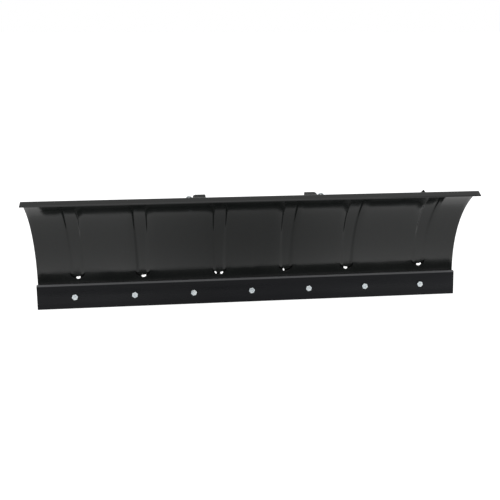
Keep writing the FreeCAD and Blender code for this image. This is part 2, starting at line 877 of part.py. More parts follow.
def make_cross_tube():
    tube = new_body("cross_tube")
    sketch = new_sketch(tube, PLANE_Y_Z, frame_x(0))
    y = behind(size("tube_behind"))
    z = size("tube_low")
    deep = size("tube_deep")
    high = size("tube_high")
    wall = size("tube_wall")
    draw_polygon(sketch, ((y, z), (y + deep, z), (y + deep, z + high), (y, z + high)))
    low = (y + wall, z + wall)
    far = (y + deep - wall, z + high - wall)
    draw_polygon(sketch, (low, (far[0], low[1]), far, (low[0], far[1])))
    pad(tube, sketch, "2 * Sizes.ear_place", both_ways=True)
    keep(tube, "cross_tube")


def lock_places():
    """Holes on a ring behind the king pin, where the blade's angle is locked."""
    places = []
    for step in (-2, -1, 0, 1, 2):
        angle = math.radians(step * size("lock_step"))
        ring = size("lock_ring")
        y = behind(size("king_behind")) + ring * math.cos(angle)
        places.append((frame_x(ring * math.sin(angle)), y))
    return places


def make_turret_plates():
    """Two plates above and below the cross tube, bored for the push tube's king pin."""
    king = behind(size("king_behind"))
    nose = size("plate_nose")
    side = size("plate_half")
    front = behind(size("tube_behind"))
    waist = front + size("tube_deep")
    top = size("tube_low") + size("tube_high")
    bottom = size("tube_low") - size("plate_thick")
    for label, low in (("turret_plate_top", top), ("turret_plate_bottom", bottom)):
        plate = new_body(label)
        sketch = new_sketch(plate, PLANE_X_Y, low)
        left = Vector(frame_x(-nose), king, 0)
        right = Vector(frame_x(nose), king, 0)
        corners = [right, Vector(frame_x(side), waist, 0), Vector(frame_x(side), front, 0)]
        corners += [Vector(frame_x(-side), front, 0), Vector(frame_x(-side), waist, 0), left]
        for start, end in zip(corners, corners[1:]):
            sketch.addGeometry(Part.LineSegment(start, end))
        sketch.addGeometry(Part.Arc(left, Vector(frame_x(0), king + nose, 0), right))
        pad(plate, sketch, "Sizes.plate_thick")
        drilled = new_sketch(plate, PLANE_X_Y, low)
        draw_circle(drilled, frame_x(0), king, "king_bore")
        for x, y in lock_places():
            draw_circle(drilled, x, y, "lock_bore")
        pocket(plate, drilled)
        keep(plate, label)


COLLAR_GAP = 7.0


def make_spring_bar():
    """A bar through the ears with a collar each side of either spring hook."""
    y = behind(size("bar_behind"))
    z = size("bar_height")
    start = Vector(frame_x(-size("bar_long") / 2), y, z)
    bar = cylinder("bar", "Sizes.bar_radius", "Sizes.bar_long", start, Vector(1, 0, 0))
    keep(bar, "spring_bar")
    collars = []
    for side, sign in SIDES:
        outward = Vector(sign, 0, 0)
        for gap, word in ((-COLLAR_GAP - size("collar_wide"), "inner"), (COLLAR_GAP, "outer")):
            start = Vector(frame_x(sign * (size("eye_place") + gap)), y, z)
            name = "%s_%s" % (side, word)
            ring = cylinder("collar_ring_" + name, "Sizes.collar_radius", "Sizes.collar_wide",
                            start, outward)
            hole = cylinder("collar_hole_" + name, "Sizes.bar_hole", "Sizes.collar_wide + 2",
                            start - outward, outward)
            collars.append(cut("collar_" + name, ring, hole))
    group("spring_bar_collars", collars)


# Where a spring's coil begins below its eye and ends above the bar, and its necks' gaps.
COIL_FROM_EYE = 40.0
COIL_FROM_BAR = 50.0
NECK_FROM_EYE = 14.0
NECK_FROM_BAR = 10.5


def make_springs():
    """Trip springs as plain round bodies from the eye bolts to the spring bar."""
    for side, sign in SIDES:
        x = frame_x(sign * size("eye_place"))
        upper = Vector(x, behind(0), size("eye_height"))
        lower = Vector(x, behind(size("bar_behind")), size("bar_height"))
        line = lower - upper
        length = line.Length
        line.normalize()
        coil_long = "%r" % (length - COIL_FROM_EYE - COIL_FROM_BAR)
        neck_long = "%r" % (length - NECK_FROM_EYE - NECK_FROM_BAR)
        coil = cylinder("coil_" + side, "Sizes.spring_radius", coil_long, upper + line * COIL_FROM_EYE, line)
        neck = cylinder("neck_" + side, "Sizes.spring_neck", neck_long, upper + line * NECK_FROM_EYE, line)
        keep(fuse("trip_spring_" + side, [coil, neck]), "trip_spring_" + side)


# ---------------------------------------------------------------- skid shoes


# The skid bracket's front edge, and its upper and lower edges back to the sleeve.
SKID_FRONT = 33.8
SKID_EDGE = (76.0, 124.0)
SKID_UPPER = (60.0, 118.0)
SKID_LOWER = ((64.0, 58.0), (59.5, 76.0))
SKID_SHOULDER = 6.0


def make_skid_holder(side, sign):
    """A sleeve for the shoe's post on a plate that is welded behind the sheet."""
    x = sign * size("skid_place")
    y = behind(size("skid_behind"))
    low = size("sleeve_low")
    top = low + size("sleeve_high")
    wall = cylinder("sleeve_wall_" + side, "Sizes.sleeve_radius", "Sizes.sleeve_high",
                    Vector(x, y, low), UPWARD)
    bore = cylinder("sleeve_bore_" + side, "Sizes.skid_post + Sizes.skid_gap",
                    "Sizes.sleeve_high + 4", Vector(x, y, low - 2), UPWARD)
    keep(cut("skid_sleeve_" + side, wall, bore), "skid_sleeve_" + side)
    back = y - size("sleeve_radius")
    outline = [(behind(SKID_FRONT), height) for height in SKID_EDGE]
    outline += [(behind(SKID_UPPER[0]), SKID_UPPER[1]), (back, top - SKID_SHOULDER), (back, low + 2)]
    outline += [(behind(distance), height) for distance, height in SKID_LOWER]
    keep(side_plate("skid_bracket_" + side, outline, x, "Sizes.skid_plate"), "skid_bracket_" + side)


def make_dish(side, sign):
    """A dished shoe with a hub for its post."""
    x = sign * size("skid_place")
    y = behind(size("skid_behind"))
    shoe = new_body("skid_dish_" + side)
    profile = new_sketch(shoe, PLANE_X_Z, -y, (x, 0.0))
    rim = size("dish_radius")
    thick = size("dish_thick")
    rise = size("dish_rise")
    hub = size("spacer_radius") - 2
    points = ((0, 0), (rim * 0.5, 0), (rim * 0.8, rise * 0.28), (rim, rise))
    points += ((rim - 2, rise + thick), (rim * 0.8 - 2, rise * 0.28 + thick))
    points += ((rim * 0.5 - 1, thick), (hub, thick), (hub, size("post_low")), (0, size("post_low")))
    draw_polygon(profile, points)
    revolve(shoe, profile, "V_Axis")
    keep(shoe, "skid_dish_" + side)


def make_post(side, sign):
    """The shoe's post with its spacers and the lynch pin across its top."""
    base = Vector(sign * size("skid_place"), behind(size("skid_behind")), size("post_low"))
    post = cylinder("post_bar_" + side, "Sizes.skid_post", "Sizes.post_top - Sizes.post_low", base, UPWARD)
    backward = Vector(0, 1, 0)
    level = Vector(base.x, base.y, size("lynch_height"))
    cross = cylinder("post_hole_" + side, "Sizes.lynch_radius + Sizes.fit_gap", "Sizes.lynch_long",
                     level - backward * size("lynch_long") / 2, backward)
    keep(cut("skid_post_" + side, post, cross), "skid_post_" + side)
    spacers = []
    count = int((size("sleeve_low") - base.z) / size("spacer_thick"))
    for step in range(count):
        name = "%s_%d" % (side, step + 1)
        start = base + UPWARD * step * size("spacer_thick")
        ring = cylinder("spacer_ring_" + name, "Sizes.spacer_radius", "Sizes.spacer_thick - 0.2",
                        start, UPWARD)
        hole = cylinder("spacer_hole_" + name, "Sizes.skid_post + Sizes.weld_gap",
                        "Sizes.spacer_thick + 2", start - UPWARD, UPWARD)
        spacers.append(cut("spacer_" + name, ring, hole))
    group("skid_spacers_" + side, spacers)
    rod = cylinder("lynch_rod_" + side, "Sizes.lynch_radius", "Sizes.lynch_long",
                   level - backward * 24, backward)
    head = cylinder("lynch_head_" + side, "Sizes.lynch_head", "Sizes.lynch_head_high",
                    level - backward * 27, backward)
    keep(fuse("lynch_pin_" + side, [rod, head]), "lynch_pin_" + side)


def make_skids():
    """Skid shoes on round posts that slide in sleeves behind the blade."""
    for side, sign in SIDES:
        make_skid_holder(side, sign)
        make_dish(side, sign)
        make_post(side, sign)


# ---------------------------------------------------------------- build, check and write


def check(items):
    for item in doc.Objects:
        if "Invalid" in item.State or "Error" in item.State:
            raise RuntimeError("%s failed: %s" % (item.Name, item.State))
    for item in items:
        if item.Shape.isNull() or not item.Shape.isValid():
            raise RuntimeError("%s has no valid shape" % item.Label)
        if not item.Shape.Solids:
            raise RuntimeError("%s has no solid" % item.Label)


def main():
    make_moldboard()
    make_wear_bar()
    make_bolts()
    make_rail()
    make_ribs()
    make_marker_tab()
    make_stiffener()
    make_spring_mounts()
    make_lugs()
    make_pivot_pins()
    make_ears()
    make_stop_pads()
    make_cross_tube()
    make_turret_plates()
    make_spring_bar()
    make_springs()
    make_skids()
    doc.recompute()
    check(exported)
    os.makedirs("parts", exist_ok=True)
    for item in exported:
        item.Shape.exportStep("parts/%s.step" % item.Label)


main()
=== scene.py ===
import math

import bmesh
import bpy
from mathutils import Euler, Matrix, Vector


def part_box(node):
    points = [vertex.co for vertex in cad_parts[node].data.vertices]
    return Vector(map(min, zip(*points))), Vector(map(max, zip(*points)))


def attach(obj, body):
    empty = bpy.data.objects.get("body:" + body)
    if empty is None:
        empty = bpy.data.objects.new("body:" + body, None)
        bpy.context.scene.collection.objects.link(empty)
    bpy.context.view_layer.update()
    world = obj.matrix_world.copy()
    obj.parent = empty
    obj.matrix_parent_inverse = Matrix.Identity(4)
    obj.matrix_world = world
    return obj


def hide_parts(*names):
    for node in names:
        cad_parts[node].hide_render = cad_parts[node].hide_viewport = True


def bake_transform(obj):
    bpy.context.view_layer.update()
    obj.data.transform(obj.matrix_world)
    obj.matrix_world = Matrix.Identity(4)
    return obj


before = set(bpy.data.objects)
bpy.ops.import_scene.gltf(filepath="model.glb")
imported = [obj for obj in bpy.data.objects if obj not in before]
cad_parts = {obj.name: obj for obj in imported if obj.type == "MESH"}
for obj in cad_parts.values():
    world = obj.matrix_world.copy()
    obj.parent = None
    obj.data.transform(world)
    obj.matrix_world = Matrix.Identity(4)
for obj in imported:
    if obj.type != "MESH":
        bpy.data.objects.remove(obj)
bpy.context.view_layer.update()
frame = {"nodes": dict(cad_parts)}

bl_info = {
    "name": "Snow blade",
    "version": (1, 0, 0),
    "blender": (4, 5, 0),
    "location": "View3D > Sidebar > Snow blade",
    "description": "Finishes a trip-frame snow blade: pressed sheet, wear bar, springs, shoes and paint",
    "category": "Add Mesh",
}

# The frame gives the places that the pieces are set out from.
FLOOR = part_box("wear_bar")[0].z
BAR_LOW, BAR_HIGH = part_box("wear_bar")
SHEET_LOW, SHEET_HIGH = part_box("moldboard")
FLUTE_CENTRES = (-0.622, -0.392, -0.117, 0.127, 0.355, 0.628)
# Where each flute's torn foot stands open, from the flute's middle. Welds and a band of painted shade, in
# place of the dark opening, close the rest.
SLOT_SPANS = (
    ((-0.005, 0.011),),
    ((-0.005, 0.011),),
    ((-0.017, -0.009), (0.004, 0.014)),
    ((-0.010, -0.004),),
    ((-0.010, 0.004),),
    ((-0.005, 0.013),),
)
# How much higher each flute's foot is than the lowest one.
SLOT_LIFTS = (0.002, 0.0, 0.0, 0.004, 0.004, 0.007)
RIB_NAMES = ["rib_%d" % number for number in range(1, 7)]
SIDES = (("left", -1), ("right", 1))
LEAN = math.radians(10.3)
BAR_THICK = 0.009525
BAR_HEIGHT = 0.0889
BAR_BEVEL = 0.003
FLUTE_TOP = 0.4148
# How far the middle of a weld stands off the plate beside it.
WELD_OFF = 0.0008
WELD_CLOSE = 0.0006
# From an eye bolt's outer end to the middle of its ring.
EYE_REACH = 0.012
SPRING_WIRE = 0.0023
EDGE = Vector((0, BAR_LOW.y, BAR_THICK * math.sin(LEAN)))
UPWARD = Vector((0, math.sin(LEAN), math.cos(LEAN)))
BACKWARD = Vector((0, math.cos(LEAN), -math.sin(LEAN)))


# ------------------------------------------------------------------ settings


def length_setting(name, description, default):
    """A setting in metres."""
    return bpy.props.FloatProperty(name=name, description=description, default=default, unit="LENGTH")


def angle_setting(name, description, degrees):
    """A setting shown in degrees."""
    return bpy.props.FloatProperty(
        name=name, description=description, default=math.radians(degrees), unit="ROTATION"
    )


def colour_setting(name, description, default):
    """A colour setting."""
    return bpy.props.FloatVectorProperty(
        name=name, description=description, default=default, size=3, subtype="COLOR"
    )


class SheetSizes(bpy.types.PropertyGroup):
    """Sizes of the pressed sheet."""

    thick: length_setting("Sheet thickness", "Thickness of the steel sheet", 0.00266)
    foot: length_setting("Foot", "How far the sheet ends above the cutting edge", 0.022)
    straight: length_setting("Straight part", "Where the curl starts, above the edge", 0.09)
    curl_radius: length_setting("Curl radius", "Radius of the sheet's front face", 0.33)
    curl_angle: angle_setting("Curl angle", "How far the sheet curls forward", 69.25)
    lip_drop: angle_setting("Lip drop", "Slope of the lip below level", 23)
    lip_length: length_setting("Lip length", "Depth of the turned-down lip", 0.0249)
    lip_bend: length_setting("Lip bend", "Inside radius of the lip's fold", 0.0035)
    flute_width: length_setting("Flute width", "Width of a flute at the face", 0.052)
    flute_wall: length_setting("Flute wall", "Width of a flute's sloping wall", 0.0095)
    flute_deep: length_setting("Flute depth", "How far a flute is pressed back", 0.005)
    slot_foot: length_setting("Slot height", "Height of a flute's relief slot", 0.102)
    slot_rise: length_setting("Slot rise", "How far a slot's horns rise", 0.02)
    slot_gap: length_setting("Slot gap", "Widest opening of a relief slot", 0.009)


class BoltSizes(bpy.types.PropertyGroup):
    """Sizes of the wear bar's fasteners."""

    count: bpy.props.IntProperty(name="Bolts", description="Number of bolts in the row", default=7)
    pitch: length_setting("Pitch", "Distance from bolt to bolt", 0.2112)
    up: length_setting("Row height", "Bolt row above the cutting edge", 0.042)
    flats: length_setting("Across flats", "Width of head and nut", 0.019)
    head: length_setting("Head height", "Height of the hex head", 0.0075)


class FinishColours(bpy.types.PropertyGroup):
    """Colours of the finishes."""

    sheet: colour_setting("Sheet coat", "Powder coat on the sheet", (0.0038, 0.0046, 0.0043))
    bar: colour_setting("Wear bar coat", "Paint on the wear bar", (0.0026, 0.0030, 0.0042))
    frame: colour_setting("Frame coat", "Powder coat on the trip frame", (0.0085, 0.0088, 0.009))
    zinc: colour_setting("Zinc", "Zinc plate on fasteners", (0.62, 0.67, 0.69))
    iron: colour_setting("Cast iron", "Painted casting of the shoes", (0.012, 0.012, 0.012))


class StageSettings(bpy.types.PropertyGroup):
    """Camera and studio light."""

    lens: bpy.props.FloatProperty(name="Lens", description="Focal length in millimetres", default=51.864)
    camera_pitch: angle_setting("Camera pitch", "How far the camera looks down", 18.893)
    camera_yaw: angle_setting("Camera yaw", "How far the camera turns to the right", 6.567)
    camera_roll: angle_setting("Camera roll", "How far the camera leans to the left", 0.287)
    camera_place: bpy.props.FloatVectorProperty(
        name="Camera place", description="Camera from the middle of the cutting edge", size=3, unit="LENGTH",
        default=(-0.28688, -2.42109, 1.03373),
    )
    card_gap: length_setting("Card gap", "White floor between blade and dark card", 0.5)
    key_power: bpy.props.FloatProperty(name="Overhead light", description="Power in watts", default=10.0)
    room_light: bpy.props.FloatProperty(
        name="Room light", description="Strength of the white room", default=1.0
    )


SETTINGS = (
    ("sheet_sizes", SheetSizes),
    ("bolt_sizes", BoltSizes),
    ("finish_colours", FinishColours),
    ("stage_settings", StageSettings),
)


# ------------------------------------------------------------------ mesh helpers


def settings(name):
    return getattr(bpy.context.scene, "blade_" + name)


def new_object(label, mesh):
    item = bpy.data.objects.new(label, mesh)
    bpy.context.scene.collection.objects.link(item)
    return item


def mesh_from(label, points, faces, edges=()):
    mesh = bpy.data.meshes.new(label)
    mesh.from_pydata([tuple(point) for point in points], list(edges), faces)
    mesh.update()
    return mesh


def shade(mesh, angle=32.0):
    """Smooth shading with creases at the sharper edges."""
    mesh.shade_smooth()
    mesh.set_sharp_from_angle(angle=math.radians(angle))


def evaluated(item, material=None):
    """Apply an object's modifiers and give it the plain mesh that results."""
    bpy.context.view_layer.update()
    graph = bpy.context.evaluated_depsgraph_get()
    mesh = bpy.data.meshes.new_from_object(item.evaluated_get(graph))
    item.modifiers.clear()
    old = item.data
    item.data = mesh
    mesh.name = item.name
    if old.users == 0 and isinstance(old, bpy.types.Mesh):
        bpy.data.meshes.remove(old)
    if material is not None:
        mesh.materials.clear()
        mesh.materials.append(material)
    return item


def eased(item, width, segments=2, angle=30.0):
    """Round an object's edges as a deburred plate's are."""
    bevel = item.modifiers.new("Eased edges", "BEVEL")
    bevel.width = width
    bevel.segments = segments
    bevel.limit_method = "ANGLE"
    bevel.angle_limit = math.radians(angle)
    bevel.harden_normals = False
    return item


def finished(item, body, slot, *nodes, crease=None):
    """Hand a piece to the body that carries it and to the CAD nodes that it stands for."""
    if crease:
        shade(item.data, crease)
    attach(item, body)
    if nodes:
        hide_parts(*nodes)
    return item


def turned(item, place, axis, material, body, slot, node, crease=32.0):
    """Place a turned piece, paint it and hand it over."""
    set_place(item, place, axis)
    evaluated(item, material)
    return finished(item, body, slot, node, crease=crease)


def middle_of(node):
    low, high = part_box(node)
    return (low + high) / 2


def side_faces(node, off=WELD_OFF):
    """X beside a node's two side faces."""
    low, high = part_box(node)
    return low.x - off, high.x + off


def merged_copy(label, node):
    """A CAD node's triangles joined up, with its flat faces made whole."""
    mesh = frame["nodes"][node].data.copy()
    mesh.name = label
    mesh.materials.clear()
    shell = bmesh.new()
    shell.from_mesh(mesh)
    bmesh.ops.remove_doubles(shell, verts=shell.verts, dist=1e-5)
    bmesh.ops.dissolve_limit(
        shell, angle_limit=math.radians(1.0), verts=shell.verts, edges=shell.edges, delimit={"NORMAL"}
    )
    for edge in shell.edges:
        edge.smooth = True
    for face in shell.faces:
        face.smooth = False
    shell.to_mesh(mesh)
    shell.free()
    return new_object(label, mesh)


def dressed(node, body, slot, material, ease=0.0008):
    """A CAD plate with eased edges and its paint."""
    item = merged_copy("visible_" + node, node)
    eased(item, ease)
    evaluated(item, material)
    return finished(item, body, slot, node, crease=32.0)


def joined(label, items):
    """One object from several that share a material."""
    mesh = bpy.data.meshes.new(label)
    shell = bmesh.new()
    for item in items:
        shell.from_mesh(item.data)
        materials = list(item.data.materials)
        bpy.data.objects.remove(item)
    shell.to_mesh(mesh)
    shell.free()
    for material in materials:
        mesh.materials.append(material)
    return new_object(label, mesh)


# ------------------------------------------------------------------ geometry node helpers


class Tree:
    """A geometry node tree being built, with short ways to add nodes and links."""

    def __init__(self, name):
        self.group = bpy.data.node_groups.new(name, "GeometryNodeTree")
        self.group.interface.new_socket("Geometry", in_out="INPUT", socket_type="NodeSocketGeometry")
        self.group.interface.new_socket("Geometry", in_out="OUTPUT", socket_type="NodeSocketGeometry")
        self.start = self.group.nodes.new("NodeGroupInput")
        self.end = self.group.nodes.new("NodeGroupOutput")

    def value(self, name, kind="NodeSocketFloat"):
        """Add a named input and return its socket."""
        self.group.interface.new_socket(name, in_out="INPUT", socket_type=kind)
        return self.start.outputs[name]

    def add(self, kind, inputs=(), **options):
        """Add a node, set its options and feed its inputs, given as (socket, value or link)."""
        node = self.group.nodes.new(kind)
        for option, setting in options.items():
            setattr(node, option, setting)
        for socket, feed in inputs:
            if isinstance(feed, bpy.types.NodeSocket):
                self.group.links.new(feed, node.inputs[socket])
            else:
                node.inputs[socket].default_value = feed
        return node

    def math(self, operation, *feeds):
        node = self.add("ShaderNodeMath", enumerate(feeds), operation=operation)
        return node.outputs[0]

    def scaled(self, vector, factor):
        """A fixed vector times a number."""
        node = self.add("ShaderNodeVectorMath", ((0, tuple(vector)), ("Scale", factor)), operation="SCALE")
        return node.outputs[0]

    def total(self, *vectors):
        """The sum of several vectors."""
        result = vectors[0]
        for vector in vectors[1:]:
            result = self.add("ShaderNodeVectorMath", ((0, result), (1, vector)), operation="ADD").outputs[0]
        return result

    def finish(self, geometry, material):
        """Make instances real, give everything its material and close the tree."""
        real = self.add("GeometryNodeRealizeInstances", ((0, geometry),))
        painted = self.add("GeometryNodeSetMaterial", ((0, real.outputs[0]), ("Material", material)))
        self.group.links.new(painted.outputs[0], self.end.inputs[0])
        return self.group


def apply_tree(item, tree, **values):
    """Put a tree on an object, set its named inputs and keep the mesh that it makes."""
    modifier = item.modifiers.new(tree.name, "NODES")
    modifier.node_group = tree
    for socket in tree.interface.items_tree:
        name = socket.name.lower().replace(" ", "_")
        if name in values:
            modifier[socket.identifier] = values[name]
    return item


def wire_tree(material):
    """Round wire along the object's own line."""
    tree = Tree("Round wire")
    radius = tree.value("Wire radius")
    sides = tree.value("Sides", "NodeSocketInt")
    line = tree.add("GeometryNodeMeshToCurve", ((0, tree.start.outputs[0]),))
    ring = tree.add("GeometryNodeCurvePrimitiveCircle", (("Resolution", sides), ("Radius", radius)))
    feeds = ((0, line.outputs[0]), ("Profile Curve", ring.outputs[0]), ("Fill Caps", True))
    wire = tree.add("GeometryNodeCurveToMesh", feeds)
    return tree.finish(wire.outputs[0], material)


def bead_tree(material):
    """A weld bead along the object's own line: a rippled run of metal."""
    tree = Tree("Weld bead")
    radius = tree.value("Bead radius")
    ripple = tree.value("Ripple length")
    line = tree.add("GeometryNodeMeshToCurve", ((0, tree.start.outputs[0]),))
    step = tree.math("MULTIPLY", ripple, 0.25)
    feeds = (("Curve", line.outputs[0]), ("Length", step))
    even = tree.add("GeometryNodeResampleCurve", feeds, mode="LENGTH")
    place = tree.add("GeometryNodeSplineParameter").outputs["Length"]
    wave = tree.math("SINE", tree.math("MULTIPLY", tree.math("DIVIDE", place, ripple), math.tau))
    size = tree.math("ADD", tree.math("MULTIPLY", wave, 0.14), 1.0)
    sized = tree.add("GeometryNodeSetCurveRadius", ((0, even.outputs[0]), ("Radius", size)))
    ring = tree.add("GeometryNodeCurvePrimitiveCircle", (("Resolution", 8), ("Radius", radius)))
    inputs = [(0, sized.outputs[0]), ("Profile Curve", ring.outputs[0]), ("Fill Caps", True)]
    bead = tree.add("GeometryNodeCurveToMesh", inputs)
    tree.group.links.new(size, bead.inputs["Scale"])
    return tree.finish(bead.outputs[0], material)


def row_tree(source, material):
    """Copies of one piece in an even row, each turned about its own axis by chance."""
    tree = Tree("Even row")
    count = tree.value("Count", "NodeSocketInt")
    step = tree.value("Step", "NodeSocketVector")
    first = tree.value("First", "NodeSocketVector")
    tilt = tree.value("Tilt", "NodeSocketVector")
    seed = tree.value("Seed", "NodeSocketInt")
    spin = tree.value("Spin")
    line = tree.add("GeometryNodeMeshLine", (("Count", count), ("Start Location", first), ("Offset", step)))
    chance = tree.add("FunctionNodeRandomValue", (("Seed", seed),), data_type="FLOAT")
    turn = tree.math("MULTIPLY", chance.outputs[1], spin)
    about = tree.add("ShaderNodeCombineXYZ", ((2, turn),))
    shape = tree.add("GeometryNodeObjectInfo", (("Object", source),), transform_space="ORIGINAL")
    copies = tree.add(
        "GeometryNodeInstanceOnPoints",
        (("Points", line.outputs[0]), ("Instance", shape.outputs["Geometry"]), ("Rotation", tilt)),
    )
    turned = tree.add(
        "GeometryNodeRotateInstances", ((0, copies.outputs[0]), ("Rotation", about.outputs[0])),
    )
    return tree.finish(turned.outputs[0], material)


def row_of(label, source, material, count, first, step, tilt=(0, 0, 0), seed=1, spin=0.0):
    """One object that holds an even row of a source piece, which is then thrown away."""
    tree = row_tree(source, material)
    item = new_object(label, mesh_from(label, [(0, 0, 0)], []))
    places = {"step": tuple(step), "first": tuple(first), "tilt": tuple(tilt)}
    apply_tree(item, tree, count=count, seed=seed, spin=spin, **places)
    evaluated(item)
    bpy.data.objects.remove(source)
    return item


def wire(label, points, radius, material, sides=14, closed=False):
    """Round wire through a list of points."""
    edges = [(place, place + 1) for place in range(len(points) - 1)]
    if closed:
        edges.append((len(points) - 1, 0))
    item = new_object(label, mesh_from(label, points, [], edges))
    apply_tree(item, wire_tree(material), wire_radius=radius, sides=sides)
    evaluated(item)
    shade(item.data, 50.0)
    return item


def beads(label, runs, radius, material):
    """Weld beads along several lines, as one object."""
    points = []
    edges = []
    for run in runs:
        start = len(points)
        points += run
        edges += [(start + place, start + place + 1) for place in range(len(run) - 1)]
    item = new_object(label, mesh_from(label, points, [], edges))
    apply_tree(item, bead_tree(material), bead_radius=radius, ripple_length=radius * 1.5)
    evaluated(item)
    shade(item.data, 60.0)
    return item


# ------------------------------------------------------------------ shapes in code


def lathe(label, outline, segments=40, closed=True):
    """Turn an outline of (radius, height) about Z. A radius of zero closes the shape."""
    points = []
    rings = []
    for radius, height in outline:
        if radius < 1e-7:
            rings.append([len(points)])
            points.append((0, 0, height))
            continue
        rings.append(list(range(len(points), len(points) + segments)))
        for step in range(segments):
            angle = math.tau * step / segments
            points.append((radius * math.cos(angle), radius * math.sin(angle), height))
    faces = []
    pairs = list(zip(rings, rings[1:]))
    if closed:
        pairs.append((rings[-1], rings[0]))
    for low, high in pairs:
        for step in range(segments):
            after = (step + 1) % segments
            if len(low) == 1 and len(high) == 1:
                continue
            if len(low) == 1:
                faces.append((low[0], high[after], high[step]))
            elif len(high) == 1:
                faces.append((low[step], low[after], high[0]))
            else:
                faces.append((low[step], low[after], high[after], high[step]))
    return repaired(new_object(label, mesh_from(label, points, faces)))


def repaired(item):
    """Merge doubles and turn every face outwards."""
    shell = bmesh.new()
    shell.from_mesh(item.data)
    bmesh.ops.remove_doubles(shell, verts=shell.verts, dist=1e-7)
    bmesh.ops.recalc_face_normals(shell, faces=shell.faces)
    shell.to_mesh(item.data)
    shell.free()
    return item


def set_place(item, place=(0, 0, 0), axis=None, turn=0.0):
    """Move an object's mesh so that its Z axis lies along an axis from a place."""
    matrix = Matrix.Translation(Vector(place))
    if axis is not None:
        matrix = matrix @ Vector((0, 0, 1)).rotation_difference(Vector(axis)).to_matrix().to_4x4()
    item.data.transform(matrix @ Matrix.Rotation(turn, 4, "Z"))
    return item


def extruded(label, outline, low, high, spans=1):
    """Draw an outline of (y, z) along X."""
    count = len(outline)
    points = []
    for step in range(spans + 1):
        x = low + (high - low) * step / spans
        points += [(x, y, z) for y, z in outline]
    faces = [tuple(range(count)), tuple(range(spans * count, (spans + 1) * count))]
    for step in range(spans):
        for place in range(count):
            after = (place + 1) % count
            faces.append((
                step * count + place,
                step * count + after,
                (step + 1) * count + after,
                (step + 1) * count + place,
            ))
    return repaired(new_object(label, mesh_from(label, points, faces)))


def hex_head(label, flats, height, bore=0.0, per_side=8):
    """A bolt head or a nut on Z = 0, its corners cut back by a cone as they are turned."""
    apothem = flats / 2
    crown = apothem * 0.86
    slope = math.tan(math.radians(30))
    count = 6 * per_side
    rings = [[], [], [], [], []]
    for step in range(count):
        angle = math.tau * step / count
        reach = apothem / math.cos((angle % (math.pi / 3)) - math.pi / 6)
        cut = max(0.0, reach - crown) * slope
        washer = min(reach, apothem * 0.96)
        inner = bore if bore else apothem * 0.62
        dish = 0.0 if bore else 0.0012
        sizes = (
            (washer, 0.0), (reach, 0.0006), (reach, height - cut), (crown, height), (inner, height - dish),
        )
        for ring, (radius, level) in zip(rings, sizes):
            ring.append((radius * math.cos(angle), radius * math.sin(angle), level))
    points = [point for ring in rings for point in ring]
    faces = []
    for layer in range(4):
        for step in range(count):
            after = (step + 1) % count
            low = layer * count
            faces.append((low + step, low + after, low + count + after, low + count + step))
    if bore:
        start = len(points)
        for step in range(count):
            angle = math.tau * step / count
            points.append((bore * math.cos(angle), bore * math.sin(angle), 0.0))
        for step in range(count):
            after = (step + 1) % count
            faces.append((4 * count + step, 4 * count + after, start + after, start + step))
            faces.append((start + step, start + after, after, step))
    else:
        faces.append(tuple(range(4 * count, 5 * count)))
        faces.append(tuple(range(count)))
    return repaired(new_object(label, mesh_from(label, points, faces)))


def washer(label, outer, inner, thick, ease=0.0004, segments=40):
    outline = (
        (inner, ease), (inner + ease, 0), (outer - ease, 0), (outer, ease),
        (outer, thick - ease), (outer - ease, thick), (inner + ease, thick), (inner, thick - ease),
    )
    return lathe(label, outline, segments)


def rod(label, radius, length, ease=0.001, segments=40):
    foot = ((0, 0), (radius - ease, 0), (radius, ease))
    head = ((radius, length - ease), (radius - ease, length), (0, length))
    return lathe(label, foot + head, segments, closed=False)


def cross_bar(label, node, ease, material, body, slot):
    """A round bar that lies along the blade."""
    low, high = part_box(node)
    middle = middle_of(node)
    bar = rod(label, (high.z - low.z) / 2, high.x - low.x, ease)
    return turned(bar, (low.x, middle.y, middle.z), (1, 0, 0), material, body, slot, node)


def on_face(up, back):
    """A point up the leaning foot of the blade and back from the wear bar's front."""
    return EDGE + UPWARD * up + BACKWARD * back


def curl_centre():
    sizes = settings("sheet_sizes")
    return on_face(sizes.straight, BAR_THICK - sizes.curl_radius)


def behind_curl(radius, height):
    """Y of the curl's circle of this radius at a height."""
    centre = curl_centre()
    return centre.y + math.sqrt(radius ** 2 - (height - centre.z) ** 2)


# ------------------------------------------------------------------ finishes


